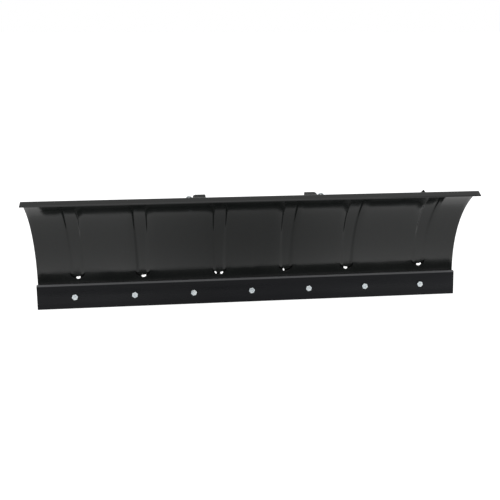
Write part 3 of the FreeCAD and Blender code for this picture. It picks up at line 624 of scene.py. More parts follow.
class Finish:
    """A material being built on the object's own coordinates."""

    def __init__(self, name):
        self.material = bpy.data.materials.new(name)
        self.material.use_nodes = True
        self.tree = self.material.node_tree
        self.shader = self.tree.nodes["Principled BSDF"]
        self.place = self.tree.nodes.new("ShaderNodeTexCoord").outputs["Object"]

    def set(self, **values):
        for name, value in values.items():
            self.shader.inputs[name.replace("_", " ")].default_value = value
        return self

    def noise(self, scale, detail=3.0, stretch=None, roughness=0.5):
        """A noise whose cells are about 1 / scale metres across."""
        node = self.tree.nodes.new("ShaderNodeTexNoise")
        node.inputs["Scale"].default_value = scale
        node.inputs["Detail"].default_value = detail
        node.inputs["Roughness"].default_value = roughness
        feed = self.place
        if stretch:
            mapping = self.tree.nodes.new("ShaderNodeMapping")
            mapping.inputs["Scale"].default_value = stretch
            self.tree.links.new(self.place, mapping.inputs["Vector"])
            feed = mapping.outputs[0]
        self.tree.links.new(feed, node.inputs["Vector"])
        return node.outputs["Fac"]

    def between(self, factor, low, high, start=0.3, stop=0.7):
        """Spread a factor over a range of values."""
        node = self.tree.nodes.new("ShaderNodeMapRange")
        for socket, value in (("From Min", start), ("From Max", stop), ("To Min", low), ("To Max", high)):
            node.inputs[socket].default_value = value
        self.tree.links.new(factor, node.inputs["Value"])
        return node.outputs["Result"]

    def axis(self, name):
        """One of the object's own coordinates."""
        node = self.tree.nodes.new("ShaderNodeSeparateXYZ")
        self.tree.links.new(self.place, node.inputs[0])
        return node.outputs[name]

    def math(self, operation, *feeds):
        """A sum worked out from links."""
        node = self.tree.nodes.new("ShaderNodeMath")
        node.operation = operation
        for place, feed in enumerate(feeds):
            self.tree.links.new(feed, node.inputs[place])
        return node.outputs[0]

    def mixed(self, factor, first, second):
        """Mix two colours, each a value or a link."""
        node = self.tree.nodes.new("ShaderNodeMix")
        node.data_type = "RGBA"
        self.tree.links.new(factor, node.inputs["Factor"])
        for socket, feed in ((node.inputs[6], first), (node.inputs[7], second)):
            if isinstance(feed, bpy.types.NodeSocket):
                self.tree.links.new(feed, socket)
            else:
                socket.default_value = (*feed, 1.0)
        return node.outputs[2]

    def bumps(self, *layers):
        """Stack bump layers, each a height link and its depth in metres."""
        normal = None
        for height, depth in layers:
            node = self.tree.nodes.new("ShaderNodeBump")
            node.inputs["Strength"].default_value = 1.0
            node.inputs["Distance"].default_value = depth
            self.tree.links.new(height, node.inputs["Height"])
            if normal:
                self.tree.links.new(normal, node.inputs["Normal"])
            normal = node.outputs[0]
        self.tree.links.new(normal, self.shader.inputs["Normal"])
        return self

    def feed(self, socket, link):
        self.tree.links.new(link, self.shader.inputs[socket])
        return self


def tinted(colour, factor, warm=0.0):
    """A colour made lighter or darker, and a little warmer."""
    return (colour[0] * factor * (1 + warm), colour[1] * factor, colour[2] * factor * (1 - warm))


def powder_coat(name, colour, low, high, dust=0.5, shine=0.5, torn=False):
    """Baked powder coat: orange peel, slow changes of gloss, a little pale dust, and where asked, painted
    shade as a dark dull band at the flute slots.
    """
    colour = tuple(colour)
    paint = Finish(name)
    slow = paint.between(paint.noise(3.0, 4.0), 0, 1)
    patches = paint.mixed(slow, tinted(colour, 0.85), tinted(colour, 1.2, 0.03))
    specks = paint.between(paint.noise(420.0, 2.0), 0.0, dust, 0.70, 0.78)
    coat = paint.mixed(specks, patches, (0.09, 0.09, 0.088))
    paint.feed("Roughness", paint.between(paint.noise(9.0, 6.0, roughness=0.6), low, high))
    paint.bumps((paint.noise(5.0, 2.0), 0.0006), (paint.noise(700.0, 2.0), 0.00003))
    if torn:
        # Painted shade: near black and without gloss where the slot shade attribute is set, standing in for
        # the dark slot openings.
        scale = paint.tree.nodes.new("ShaderNodeAttribute")
        scale.attribute_name = "torn"
        coat = paint.mixed(scale.outputs["Fac"], coat, (0.0012, 0.0012, 0.0012))
        paint.feed("Specular IOR Level", paint.between(scale.outputs["Fac"], shine, 0.02, 0.0, 1.0))
    else:
        paint.set(Specular_IOR_Level=shine)
    paint.feed("Base Color", coat)
    return paint.material


def bar_paint(colour):
    """Satin black over rolled bar: fine lines along it, faint rub marks and a painted highlight on the upper
    bevel.
    """
    colour = tuple(colour)
    paint = Finish("Wear bar paint")
    lines = paint.noise(1.0, 5.0, (3.0, 260.0, 260.0))
    slow = paint.between(paint.noise(2.2, 4.0), 0, 1)
    patches = paint.mixed(slow, tinted(colour, 0.8), tinted(colour, 1.3, 0.02))
    rubs = paint.between(paint.noise(1.0, 6.0, (2.0, 30.0, 60.0), 0.7), 0.0, 0.35, 0.62, 0.80)
    rubbed = paint.mixed(rubs, patches, (0.022, 0.022, 0.025))
    # Painted highlight: a paler band along the upper bevel, standing in for the sheen on its edge.
    bevel = paint.between(paint.axis("Z"), 0.0, 1.0, on_face(0.0815, 0).z, on_face(0.0835, 0).z)
    paint.feed("Base Color", paint.mixed(bevel, rubbed, (0.085, 0.086, 0.089)))
    paint.feed("Roughness", paint.between(paint.noise(1.0, 4.0, (4.0, 40.0, 40.0)), 0.22, 0.36))
    paint.bumps((lines, 0.00005), (paint.noise(500.0, 2.0), 0.00003))
    paint.set(Specular_IOR_Level=0.16)
    return paint.material


def zinc_plate(name, colour, low, high):
    """Bright zinc: metal with a faint blue and straw cast and soft scratches."""
    colour = tuple(colour)
    metal = Finish(name)
    slow = metal.between(metal.noise(60.0, 3.0), 0, 1)
    cast = metal.mixed(slow, tinted(colour, 0.8, -0.03), tinted(colour, 1.15, 0.03))
    spots = metal.between(metal.noise(240.0, 4.0), 0.0, 0.5, 0.60, 0.75)
    metal.feed("Base Color", metal.mixed(spots, cast, tinted(colour, 0.45)))
    metal.feed("Roughness", metal.between(metal.noise(180.0, 5.0), low, high))
    metal.bumps((metal.noise(900.0, 3.0), 0.00002))
    metal.set(Metallic=1.0)
    return metal.material


def cast_iron(colour):
    """Painted casting with a sandy skin and bare metal where it drags."""
    colour = tuple(colour)
    iron = Finish("Cast iron")
    patchy = iron.between(iron.noise(25.0, 4.0), 0, 1)
    patches = iron.mixed(patchy, tinted(colour, 0.8), tinted(colour, 1.6, 0.05))
    iron.feed("Base Color", patches)
    iron.feed("Roughness", iron.between(iron.noise(120.0, 4.0), 0.45, 0.7))
    iron.bumps((iron.noise(260.0, 5.0, roughness=0.65), 0.00025))
    return iron.material


def moulded_rubber():
    rubber = Finish("Moulded rubber")
    black = rubber.mixed(rubber.noise(90.0, 4.0), (0.010, 0.010, 0.010), (0.022, 0.021, 0.020))
    rubber.feed("Base Color", black)
    rubber.feed("Roughness", rubber.between(rubber.noise(300.0, 3.0), 0.6, 0.85))
    rubber.bumps((rubber.noise(900.0, 3.0), 0.0001))
    return rubber.material


def card_finish():
    """A dark card in front of the blade, which the straight foot reflects."""
    card = Finish("Studio card")
    card.feed("Base Color", card.mixed(card.noise(2.0, 3.0), (0.05, 0.05, 0.055), (0.07, 0.07, 0.075)))
    card.feed("Roughness", card.between(card.noise(3.0, 3.0), 0.7, 0.9))
    return card.material


def sheen_finish():
    """A glowing card seen only in reflections, a painted reflection of a softly lit strip of table under the
    curl, dimmer in the middle and close to the blade.
    """
    sheen = Finish("Sheen card")
    aside = sheen.between(sheen.math("ABSOLUTE", sheen.axis("X")), 1.22, 1.88, 0.12, 0.5)
    along = sheen.between(sheen.axis("Y"), 1.25, 0.52, -0.5, -0.05)
    sheen.set(Base_Color=(0, 0, 0, 1), Specular_IOR_Level=0.0, Emission_Color=(1.0, 1.0, 1.0, 1.0))
    sheen.feed("Emission Strength", sheen.math("MULTIPLY", aside, along))
    return sheen.material


def floor_finish():
    """A white lit table that keeps no shadow."""
    floor = Finish("Studio floor")
    floor.feed("Base Color", floor.mixed(floor.noise(0.7, 3.0), (0.22, 0.22, 0.22), (0.26, 0.26, 0.26)))
    floor.feed("Roughness", floor.between(floor.noise(3.0, 3.0), 0.75, 0.9))
    floor.set(Emission_Color=(1.0, 1.0, 1.0, 1.0), Emission_Strength=0.97)
    return floor.material


FINISHES = {}


def make_finishes():
    colours = settings("finish_colours")
    # The sheet's coat carries the painted shade band at the flute slots.
    FINISHES["sheet"] = powder_coat("Sheet powder coat", colours.sheet, 0.08, 0.14, 0.5, 0.27, True)
    FINISHES["frame"] = powder_coat("Frame powder coat", colours.frame, 0.34, 0.46, 0.5)
    FINISHES["plate"] = powder_coat("Plate powder coat", colours.sheet, 0.3, 0.42, 0.5, 0.35)
    FINISHES["bracket"] = powder_coat("Bracket powder coat", colours.sheet, 0.5, 0.65, 0.2, 0.06)
    FINISHES["bar"] = bar_paint(colours.bar)
    FINISHES["zinc"] = zinc_plate("Zinc plate", colours.zinc, 0.16, 0.30)
    FINISHES["spring"] = zinc_plate("Spring zinc", tinted(tuple(colours.zinc), 0.8), 0.28, 0.42)
    FINISHES["iron"] = cast_iron(colours.iron)
    FINISHES["rubber"] = moulded_rubber()


# ------------------------------------------------------------------ moldboard


def smooth_step(value):
    value = min(1.0, max(0.0, value))
    return value * value * (3 - 2 * value)


def arc_height(across, half, lowest, rise):
    """Height of the arc through two corners and a lowest point, at a distance from its middle."""
    radius = (half ** 2 + rise ** 2) / (2 * rise)
    return lowest + radius - math.sqrt(max(0.0, radius ** 2 - across ** 2))


def along_face(height, sizes):
    """Distance up the sheet's front from the cutting edge to a height in the curl."""
    lift = (height - curl_centre().z) / sizes.curl_radius
    return sizes.straight + sizes.curl_radius * (math.asin(lift) + LEAN)


def blank_columns(sizes):
    """Places across the blank, close together at the flutes and at the ends of their slots."""
    half = sizes.flute_width / 2
    columns = []
    edge = SHEET_LOW.x
    for centre, spans in zip(FLUTE_CENTRES, SLOT_SPANS):
        gap = centre - half - edge
        columns += [edge + gap * step / 8 for step in range(8)]
        ends = [-half] + [end for span in spans for end in span] + [half]
        for start, stop in zip(ends, ends[1:]):
            steps = max(3, round((stop - start) / 0.0018))
            columns += [centre + start + (stop - start) * step / steps for step in range(steps)]
        edge = centre + half
    columns += [edge + (SHEET_HIGH.x - edge) * step / 8 for step in range(9)]
    return columns


def nearest_flute(x):
    """Number of the nearest flute and the distance from its middle."""
    number = min(range(len(FLUTE_CENTRES)), key=lambda place: abs(x - FLUTE_CENTRES[place]))
    return number, x - FLUTE_CENTRES[number]


def slot_share(x):
    """How wide the torn foot stands open at X, as a share, or nothing where it is closed."""
    number, offset = nearest_flute(x)
    for start, stop in SLOT_SPANS[number]:
        if start - 1e-6 <= offset <= stop + 1e-6:
            place = (2 * offset - start - stop) / (stop - start)
            return max(0.35, math.sqrt(max(0.0, 1 - place * place)))
    return None


SLOT_ROWS = 5


def blank_rows(x, across, sizes):
    """Distances up the face for one column, bent round a flute's relief slot."""
    half = sizes.flute_width / 2
    foot = sizes.slot_foot + SLOT_LIFTS[nearest_flute(x)[0]]
    outer = arc_height(across, half, foot, sizes.slot_rise)
    inner_rise = sizes.slot_rise - sizes.slot_gap / 2
    inner = arc_height(across, half, foot + sizes.slot_gap, inner_rise)
    low = sizes.straight
    high = along_face(0.150, sizes)
    top = sizes.straight + sizes.curl_radius * sizes.curl_angle
    fold = sizes.lip_bend * fold_angle(sizes)
    end = top + fold + sizes.lip_length
    rows = [sizes.foot + (low - sizes.foot) * step / 5 for step in range(5)]
    lower = along_face(outer, sizes)
    upper = along_face(inner, sizes)
    rows += [low + (lower - low) * step / 6 for step in range(6)]
    slot = len(rows)
    open_share = 0.94 * (slot_share(x) or 0.6)
    shares = [0.0] + [0.5 + open_share * (step - 2.5) / 3 for step in range(1, SLOT_ROWS)]
    rows += [lower + (upper - lower) * share for share in shares]
    rows += [upper + (high - upper) * step / 7 for step in range(7)]
    rows += [high + (top - high) * step / 52 for step in range(52)]
    rows += [top + fold * step / 7 for step in range(7)]
    rows += [top + fold + (end - top - fold) * step / 4 for step in range(5)]
    return rows, slot


def fold_angle(sizes):
    """How far the lip is folded from the curl's own direction."""
    return math.pi / 2 + LEAN - sizes.curl_angle + sizes.lip_drop


def press_depth(across, row, slot, up, sizes):
    """Share of the full flute depth at a point of the blank, this far from a flute's middle."""
    rise = smooth_step((up - 0.13) / 0.24)
    wall = smooth_step((sizes.flute_width / 2 - across) / (sizes.flute_wall * (1.6 - 0.85 * rise)))
    foot = smooth_step((row - slot) / SLOT_ROWS)
    fade = smooth_step((along_face(FLUTE_TOP, sizes) - up) / 0.016)
    return wall * foot * fade * (0.7 + 0.3 * rise)


def slot_shade_share(across, row, slot, sizes):
    """Strength of the painted shade at a point: the band where a flute's foot was torn, painted dark as
    shade in the opening.
    """
    if across > sizes.flute_width / 2 - 0.0002 or not slot <= row <= slot + SLOT_ROWS:
        return 0.0
    return 0.4 if row in (slot, slot + SLOT_ROWS) else 1.0


def is_open(x, row, slot):
    """Whether the blank is cut away here: the middle of the torn band, in a slot's spans."""
    return 0 < row - slot < SLOT_ROWS - 1 and slot_share(x) is not None


def rolling_tree(sizes, material):
    """Roll a flat blank to the blade's section and press its flutes back."""
    tree = Tree("Roll and press")
    radius = tree.value("Curl radius")
    straight = tree.value("Straight part")
    curl = tree.value("Curl angle")
    bend = tree.value("Lip bend")
    fold = tree.value("Fold angle")
    deep = tree.value("Flute depth")
    place = tree.add("GeometryNodeInputPosition").outputs[0]
    flat = tree.add("ShaderNodeSeparateXYZ", ((0, place),))
    across = flat.outputs[0]
    up = flat.outputs[1]
    end = sizes.curl_angle
    onward = UPWARD * math.cos(end) - BACKWARD * math.sin(end)
    inward = -(BACKWARD * math.cos(end) + UPWARD * math.sin(end))
    lip = onward * math.cos(fold_angle(sizes)) + inward * math.sin(fold_angle(sizes))

    foot = tree.math("MINIMUM", up, straight)
    past = tree.math("MAXIMUM", tree.math("SUBTRACT", up, straight), 0.0)
    turn = tree.math("MINIMUM", tree.math("DIVIDE", past, radius), curl)
    sine = tree.math("SINE", turn)
    cosine = tree.math("COSINE", turn)
    arc = tree.math("MULTIPLY", radius, curl)
    over = tree.math("MAXIMUM", tree.math("SUBTRACT", past, arc), 0.0)
    tip = tree.math("MINIMUM", tree.math("DIVIDE", over, bend), fold)
    rest = tree.math("MAXIMUM", tree.math("SUBTRACT", over, tree.math("MULTIPLY", bend, fold)), 0.0)
    press = tree.add("GeometryNodeInputNamedAttribute", (("Name", "press"),), data_type="FLOAT")
    depth = tree.math("MULTIPLY", press.outputs[0], deep)
    reach = tree.math("ADD", radius, depth)
    sink = tree.math("SUBTRACT", tree.math("MULTIPLY", reach, cosine), radius)
    rise = tree.math("MULTIPLY", reach, sine)
    sweep = tree.math("MULTIPLY", bend, tree.math("SINE", tip))
    dip = tree.math("MULTIPLY", bend, tree.math("SUBTRACT", 1.0, tree.math("COSINE", tip)))
    moved = tree.total(
        tree.scaled((1, 0, 0), across),
        tree.scaled(UPWARD, foot),
        tree.scaled(BACKWARD, sink),
        tree.scaled(UPWARD, rise),
        tree.scaled(onward, sweep),
        tree.scaled(inward, dip),
        tree.scaled(lip, rest),
        tree.scaled(on_face(0, BAR_THICK), 1.0),
    )
    shaped = tree.add("GeometryNodeSetPosition", ((0, tree.start.outputs[0]), ("Position", moved)))
    return tree.finish(shaped.outputs[0], material)


def make_sheet():
    """Cut the blank, roll and press it, and give it its thickness."""
    sizes = settings("sheet_sizes")
    columns = blank_columns(sizes)
    points = []
    depths = []
    # Painted shade strength at each point of the blank, for the band at the flute slots.
    torn = []
    for x in columns:
        across = min(sizes.flute_width / 2, abs(nearest_flute(x)[1]))
        rows, slot = blank_rows(x, across, sizes)
        for row, up in enumerate(rows):
            points.append((x, up, 0.0))
            depths.append(press_depth(across, row, slot, up, sizes))
            torn.append(slot_shade_share(across, row, slot, sizes))
    count = len(rows)
    faces = []
    for column in range(len(columns) - 1):
        x = (columns[column] + columns[column + 1]) / 2
        for row in range(count - 1):
            if is_open(x, row, slot):
                continue
            start = column * count + row
            faces.append((start, start + count, start + count + 1, start + 1))
    mesh = mesh_from("moldboard_sheet", points, faces)
    mesh.attributes.new("press", "FLOAT", "POINT").data.foreach_set("value", depths)
    # The slot shade attribute holds painted shade: a dark, dull band at each flute's foot slot, in place of
    # the dark opening.
    mesh.attributes.new("torn", "FLOAT", "POINT").data.foreach_set("value", torn)
    item = new_object("moldboard_sheet", mesh)
    apply_tree(
        item,
        rolling_tree(sizes, FINISHES["sheet"]),
        curl_radius=sizes.curl_radius,
        straight_part=sizes.straight,
        curl_angle=sizes.curl_angle,
        lip_bend=sizes.lip_bend,
        fold_angle=fold_angle(sizes),
        flute_depth=sizes.flute_deep,
    )
    wall = item.modifiers.new("Sheet thickness", "SOLIDIFY")
    wall.thickness = sizes.thick
    wall.offset = -1.0
    wall.use_even_offset = True
    eased(item, 0.0006, 2, 55.0)
    evaluated(item)
    return finished(item, "blade", "blade_paint", "moldboard", crease=40.0)


# ------------------------------------------------------------------ wear bar and fasteners


def make_bar():
    """Rolled flat bar, its corners softened and its upper front edge bevelled."""
    slope = BAR_HEIGHT - 2 * BAR_BEVEL
    corners = ((0, 0), (0, BAR_THICK), (BAR_HEIGHT, BAR_THICK), (BAR_HEIGHT, BAR_BEVEL), (slope, 0))
    outline = [tuple(on_face(*corner))[1:] for corner in corners]
    item = extruded("wear_bar_plate", outline, BAR_LOW.x, BAR_HIGH.x, 30)
    eased(item, 0.0007, 3, 20.0)
    evaluated(item, FINISHES["bar"])
    return finished(item, "blade", "bar_paint", "wear_bar", crease=32.0)


def tilt_to_face():
    """Rotation that lays a piece's Z axis along the bolts, head forward."""
    return (-math.pi / 2 - LEAN, 0.0, 0.0)


def bolt_source(sizes):
    head = hex_head("head", sizes.flats, sizes.head)
    head.data.transform(Matrix.Rotation(math.pi, 4, "X"))
    outline = [(0.006, 0.0), (0.006, 0.028)]
    pitch = 0.00175
    for step in range(4):
        start = 0.028 + step * pitch
        outline += [(0.0059, start + 0.0004), (0.0052, start + pitch / 2), (0.0059, start + pitch - 0.0004)]
    outline += [(0.0052, 0.0362), (0.0, 0.0362)]
    shank = lathe("shank", outline, 28, closed=False)
    return joined_source("bolt", [head, shank])


def joined_source(label, items):
    for item in items:
        item.data.materials.clear()
        item.data.materials.append(FINISHES["zinc"])
    return joined(label, items)


def make_fasteners():
    """The wear bar's bolts, washers and nuts, in even rows."""
    sizes = settings("bolt_sizes")
    half = (sizes.count - 1) / 2 * sizes.pitch
    step = (sizes.pitch, 0, 0)
    across = Vector((-half, 0, 0))
    washer_back = BAR_THICK + settings("sheet_sizes").thick + 0.005
    rows = (
        ("face_bolts", bolt_source(sizes), "wear_bar_bolts", 0.0, 0.9, 3),
        ("rear_washers", washer("washer", 0.013, 0.0061, 0.0025), "wear_bar_washers", washer_back, 0.0, 1),
        (
            "rear_nuts",
            hex_head("nut", sizes.flats, 0.0108, bore=0.0057),
            "wear_bar_nuts",
            washer_back + 0.0025,
            1.0,
            5,
        ),
    )
    for label, source, node, back, spin, seed in rows:
        first = across + on_face(sizes.up, back)
        spin *= math.pi / 3
        item = row_of(label, source, FINISHES["zinc"], sizes.count, first, step, tilt_to_face(), seed, spin)
        finished(item, "blade", "zinc", node, crease=25.0)


# ------------------------------------------------------------------ back of the blade


def make_back_plates():
    """Rail, ribs, lugs, brackets and tab: cut plates with eased edges and paint."""
    paint = FINISHES["plate"]
    dressed("bottom_rail", "blade", "blade_paint", paint, 0.0012)
    for name in RIB_NAMES:
        dressed(name, "blade", "blade_paint", paint)
    dressed("marker_tab", "blade", "blade_paint", FINISHES["bracket"], 0.0005)
    for side in dict(SIDES):
        dressed("spring_bracket_" + side, "blade", "blade_paint", FINISHES["bracket"], 0.0009)
        dressed("skid_bracket_" + side, "blade", "blade_paint", paint)
        for word in ("inner", "outer"):
            dressed("pivot_lug_%s_%s" % (side, word), "blade", "blade_paint", paint)
        low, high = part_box("skid_sleeve_" + side)
        middle = middle_of("skid_sleeve_" + side)
        sleeve = washer("sleeve_" + side, (high.x - low.x) / 2, 0.01258, high.z - low.z, 0.0008, 48)
        place = (middle.x, middle.y, low.z)
        turned(sleeve, place, None, paint, "blade", "blade_paint", "skid_sleeve_" + side)
    cross_bar("curl_bar", "top_bar", 0.0012, paint, "blade", "blade_paint")


def curled_run(x, radius, start, stop, steps=12):
    """Points up the back of the curl, from one height to another."""
    heights = [start + (stop - start) * step / steps for step in range(steps + 1)]
    return [Vector((x, behind_curl(radius, height), height)) for height in heights]


def make_blade_welds():
    """Weld runs that hold rail, ribs, lugs and brackets to the sheet."""
    sizes = settings("sheet_sizes")
    runs = []
    outer = sizes.curl_radius + sizes.thick + sizes.flute_deep
    for name in RIB_NAMES:
        for x in side_faces(name):
            for start, stop in ((0.13, 0.165), (0.225, 0.26), (0.32, 0.35)):
                runs.append(curled_run(x, outer + WELD_OFF, start, stop))
            runs.append([Vector((x, *rail_top(behind))) for behind in (0.040, 0.053)])
    inner = BAR_THICK + sizes.thick
    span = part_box("bottom_rail")
    for step in range(11):
        x = span[0].x + 0.06 + step * (span[1].x - span[0].x - 0.18) / 10
        run = [on_face(0.0755, inner + 0.0012) + Vector((x + part * 0.01, 0, 0)) for part in range(6)]
        runs.append(run)
    for side in dict(SIDES):
        for word in ("inner", "outer"):
            for x in side_faces("pivot_lug_%s_%s" % (side, word)):
                run = [on_face(up, inner + 0.0062) for up in (0.038, 0.05, 0.062)]
                runs.append([Vector((x, point.y, point.z)) for point in run])
        curl = sizes.curl_radius + sizes.thick + WELD_OFF
        for x in side_faces("spring_bracket_" + side, WELD_CLOSE):
            runs.append(curled_run(x, curl, 0.318, 0.388))
        for x in side_faces("skid_bracket_" + side):
            runs.append(curled_run(x, curl + WELD_CLOSE, 0.08, 0.12, 4))
            y = middle_of("skid_sleeve_" + side).y - 0.0172
            runs.append([Vector((x, y, height)) for height in (0.055, 0.075, 0.09, 0.105)])
    item = beads("blade_welds", runs, 0.0021, FINISHES["plate"])
    finished(item, "blade", "blade_paint")


def rail_top(behind):
    """Y and Z on the rail's upper side, a distance behind the cutting edge."""
    point = on_face(0.075, BAR_THICK + settings("sheet_sizes").thick)
    y = EDGE.y + behind
    return y, point.z - (y - point.y) * math.tan(LEAN) + WELD_OFF


def ring_points(centre, radius, first, second, start=0.0, sweep=math.tau, steps=36):
    """Points round an arc in the plane of two directions."""
    first = Vector(first)
    second = Vector(second)
    points = []
    for step in range(steps + 1):
        angle = start + sweep * step / steps
        points.append(Vector(centre) + first * radius * math.cos(angle) + second * radius * math.sin(angle))
    return points


def eye_centre(side):
    """The middle of the ring at an eye bolt's outer end."""
    low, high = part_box("spring_eyebolt_" + side)
    middle = middle_of("spring_eyebolt_" + side)
    x = low.x + EYE_REACH if side == "left" else high.x - EYE_REACH
    return Vector((x, middle.y, middle.z))


def make_eyebolts():
    """Forged eyes with threaded shanks, and their nuts inside the brackets."""
    zinc = FINISHES["zinc"]
    nuts = []
    for side, sign in SIDES:
        centre = eye_centre(side)
        ring = ring_points(centre, 0.0085, (1, 0, 0), (0, 0, 1), steps=48)[:-1]
        eye = wire("eye_" + side, ring, 0.0035, zinc, 16, closed=True)
        outline = [(0.0035, 0.0)]
        for step in range(10):
            start = 0.006 + step * 0.0014
            outline += [(0.0035, start), (0.0030, start + 0.0007)]
        outline += [(0.0034, 0.0212), (0.0030, 0.0218), (0.0, 0.0218)]
        shank = lathe("eye_shank_" + side, outline, 24, closed=False)
        set_place(shank, centre + Vector((-sign * 0.0095, 0, 0)), (-sign, 0, 0))
        shank.data.materials.append(zinc)
        item = joined("eyebolt_" + side, [eye, shank])
        finished(item, "blade", "zinc", "spring_eyebolt_" + side, crease=40.0)
        nut = hex_head("eye_nut_" + side, 0.011, 0.0055, bore=0.0034)
        low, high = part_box("spring_bracket_" + side)
        inside = (high.x if sign > 0 else low.x) - sign * 0.005
        set_place(nut, (inside, centre.y, centre.z), (-sign, 0, 0), 0.3)
        nut.data.materials.append(zinc)
        nuts.append(nut)
    item = joined("eye_nuts", nuts)
    finished(item, "blade", "zinc", "eyebolt_nuts", crease=25.0)


def make_pivot_pins():
    """Clevis pins with rounded heads, each held by a split pin with spread legs."""
    zinc = FINISHES["zinc"]
    splits = []
    for side, sign in SIDES:
        low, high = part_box("pivot_pin_" + side)
        middle = (low + high) / 2
        outer = high.x if sign > 0 else low.x
        length = high.x - low.x
        outline = (
            (0, 0), (0.010, 0), (0.0118, 0.0008), (0.012, 0.002), (0.012, 0.0042), (0.0115, 0.005),
            (0.00795, 0.005), (0.00795, length - 0.0015), (0.0065, length), (0, length),
        )
        pin = lathe("clevis_pin_" + side, outline, 48, closed=False)
        place = (outer, middle.y, middle.z)
        turned(pin, place, (-sign, 0, 0), zinc, "blade", "zinc", "pivot_pin_" + side)
        x = (low.x if sign > 0 else high.x) + sign * 0.008
        top = Vector((x, middle.y, middle.z + 0.0125))
        loop = ring_points(top, 0.0034, (0, 1, 0), (0, 0, 1), math.radians(-60), math.radians(300), 20)
        legs = []
        for lean in (-1, 1):
            for down, out in ((0.006, 0.0009), (0.020, 0.0009), (0.026, 0.002), (0.030, 0.005)):
                legs.append((lean, top + Vector((0, lean * out, -down))))
        first = [point for lean, point in legs if lean > 0][::-1]
        second = [point for lean, point in legs if lean < 0]
        splits.append(wire("split_" + side, first + loop + second, 0.0009, zinc, 8))
    item = joined("split_pins", splits)
    finished(item, "blade", "zinc", "pivot_split_pins", crease=50.0)


# ------------------------------------------------------------------ trip frame


def make_trip_frame():
    """Ears, cross tube, turret plates and spring bar."""
    paint = FINISHES["frame"]
    for name in ("ear_left", "ear_right", "turret_plate_top", "turret_plate_bottom"):
        dressed(name, "trip_frame", "frame_paint", paint, 0.0009)
    dressed("cross_tube", "trip_frame", "frame_paint", paint, 0.0035)
    cross_bar("hook_bar", "spring_bar", 0.0015, paint, "trip_frame", "frame_paint")
    middle = middle_of("spring_bar")
    collars = []
    for side, sign in SIDES:
        for gap in (-0.013, 0.007):
            collar = washer("collar", 0.013, 0.0081, 0.006, 0.0007)
            set_place(collar, (eye_centre(side).x + sign * gap, middle.y, middle.z), (sign, 0, 0))
            collar.data.materials.append(FINISHES["zinc"])
            collars.append(collar)
    item = joined("hook_collars", collars)
    finished(item, "trip_frame", "zinc", "spring_bar_collars", crease=32.0)
    for side, sign in SIDES:
        low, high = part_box("stop_pad_" + side)
        pad = extruded(
            "stop_cushion_" + side,
            [(low.y, low.z), (high.y, low.z), (high.y, high.z), (low.y, high.z)],
            low.x,
            high.x,
        )
        eased(pad, 0.002, 4)
        evaluated(pad, FINISHES["rubber"])
        finished(pad, "trip_frame", "pad_rubber", "stop_pad_" + side, crease=32.0)


def make_frame_welds():
    """Weld runs that hold the ears and turret plates to the cross tube."""
    runs = []
    tube_low, tube_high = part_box("cross_tube")
    for sign in (-1, 1):
        x = (tube_high.x if sign > 0 else tube_low.x) - sign * WELD_OFF
        for z in (tube_low.z - WELD_CLOSE, tube_high.z + WELD_CLOSE):
            middle = (tube_low.y + tube_high.y) / 2
            runs.append([Vector((x, y, z)) for y in (tube_low.y + 0.006, middle, tube_high.y - 0.006)])
        heights = (tube_low.z + 0.006, tube_high.z - 0.006)
        runs.append([Vector((x, tube_high.y + WELD_CLOSE, z)) for z in heights])
    for name in ("turret_plate_top", "turret_plate_bottom"):
        low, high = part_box(name)
        inner = low.z - WELD_CLOSE if name.endswith("top") else high.z + WELD_CLOSE
        middle = (low.x + high.x) / 2
        for start in (-0.10, -0.04, 0.02, 0.07):
            places = [middle + start + 0.01 * step for step in range(4)]
            runs.append([Vector((x, tube_high.y + WELD_OFF, inner)) for x in places])
    item = beads("frame_welds", runs, 0.0022, FINISHES["frame"])
    finished(item, "trip_frame", "frame_paint")


def spring_line(upper, lower, coil_radius=0.0137, wire_radius=SPRING_WIRE, turns=44):
    """The wire's centreline: an eye loop, a close-wound coil and a loop round the spring bar."""
    along = (lower - upper).normalized()
    across = Vector((1, 0, 0))
    square = along.cross(across).normalized()
    eye_loop = 0.009
    bar_loop = 0.0106
    eye_wire = upper + Vector((0, 0, -0.0085))
    first_centre = eye_wire - along * (0.0035 + wire_radius + 0.0001) + along * eye_loop
    last_centre = lower + along * (0.008 + wire_radius + 0.0001) - along * bar_loop
    coil_start = first_centre + along * 0.026
    coil_stop = last_centre - along * 0.030
    points = ring_points(first_centre, eye_loop, along, square, math.radians(75), math.radians(285), 30)
    steps = turns * 22
    rise = (coil_stop - coil_start).length
    coil = []
    for step in range(steps + 1):
        share = step / steps
        angle = math.tau * turns * share
        grow = smooth_step(min(share, 1 - share) * turns / 1.2)
        radius = 0.002 + (coil_radius - 0.002) * grow
        centre = coil_start + along * rise * share
        coil.append(centre + (square * math.cos(angle) + across * math.sin(angle)) * radius)
    bar = ring_points(last_centre, bar_loop, -along, square, math.radians(0), math.radians(285), 30)
    return points + coil + bar


def make_springs():
    """Two extension springs, which stretch between the blade's eyes and the spring bar."""
    for side in dict(SIDES):
        upper = eye_centre(side)
        bar = middle_of("spring_bar")
        lower = Vector((upper.x, bar.y, bar.z))
        item = wire("spring_" + side, spring_line(upper, lower), SPRING_WIRE, FINISHES["spring"], 10)
        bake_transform(item)
        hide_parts("trip_spring_" + side)


# ------------------------------------------------------------------ skid shoes


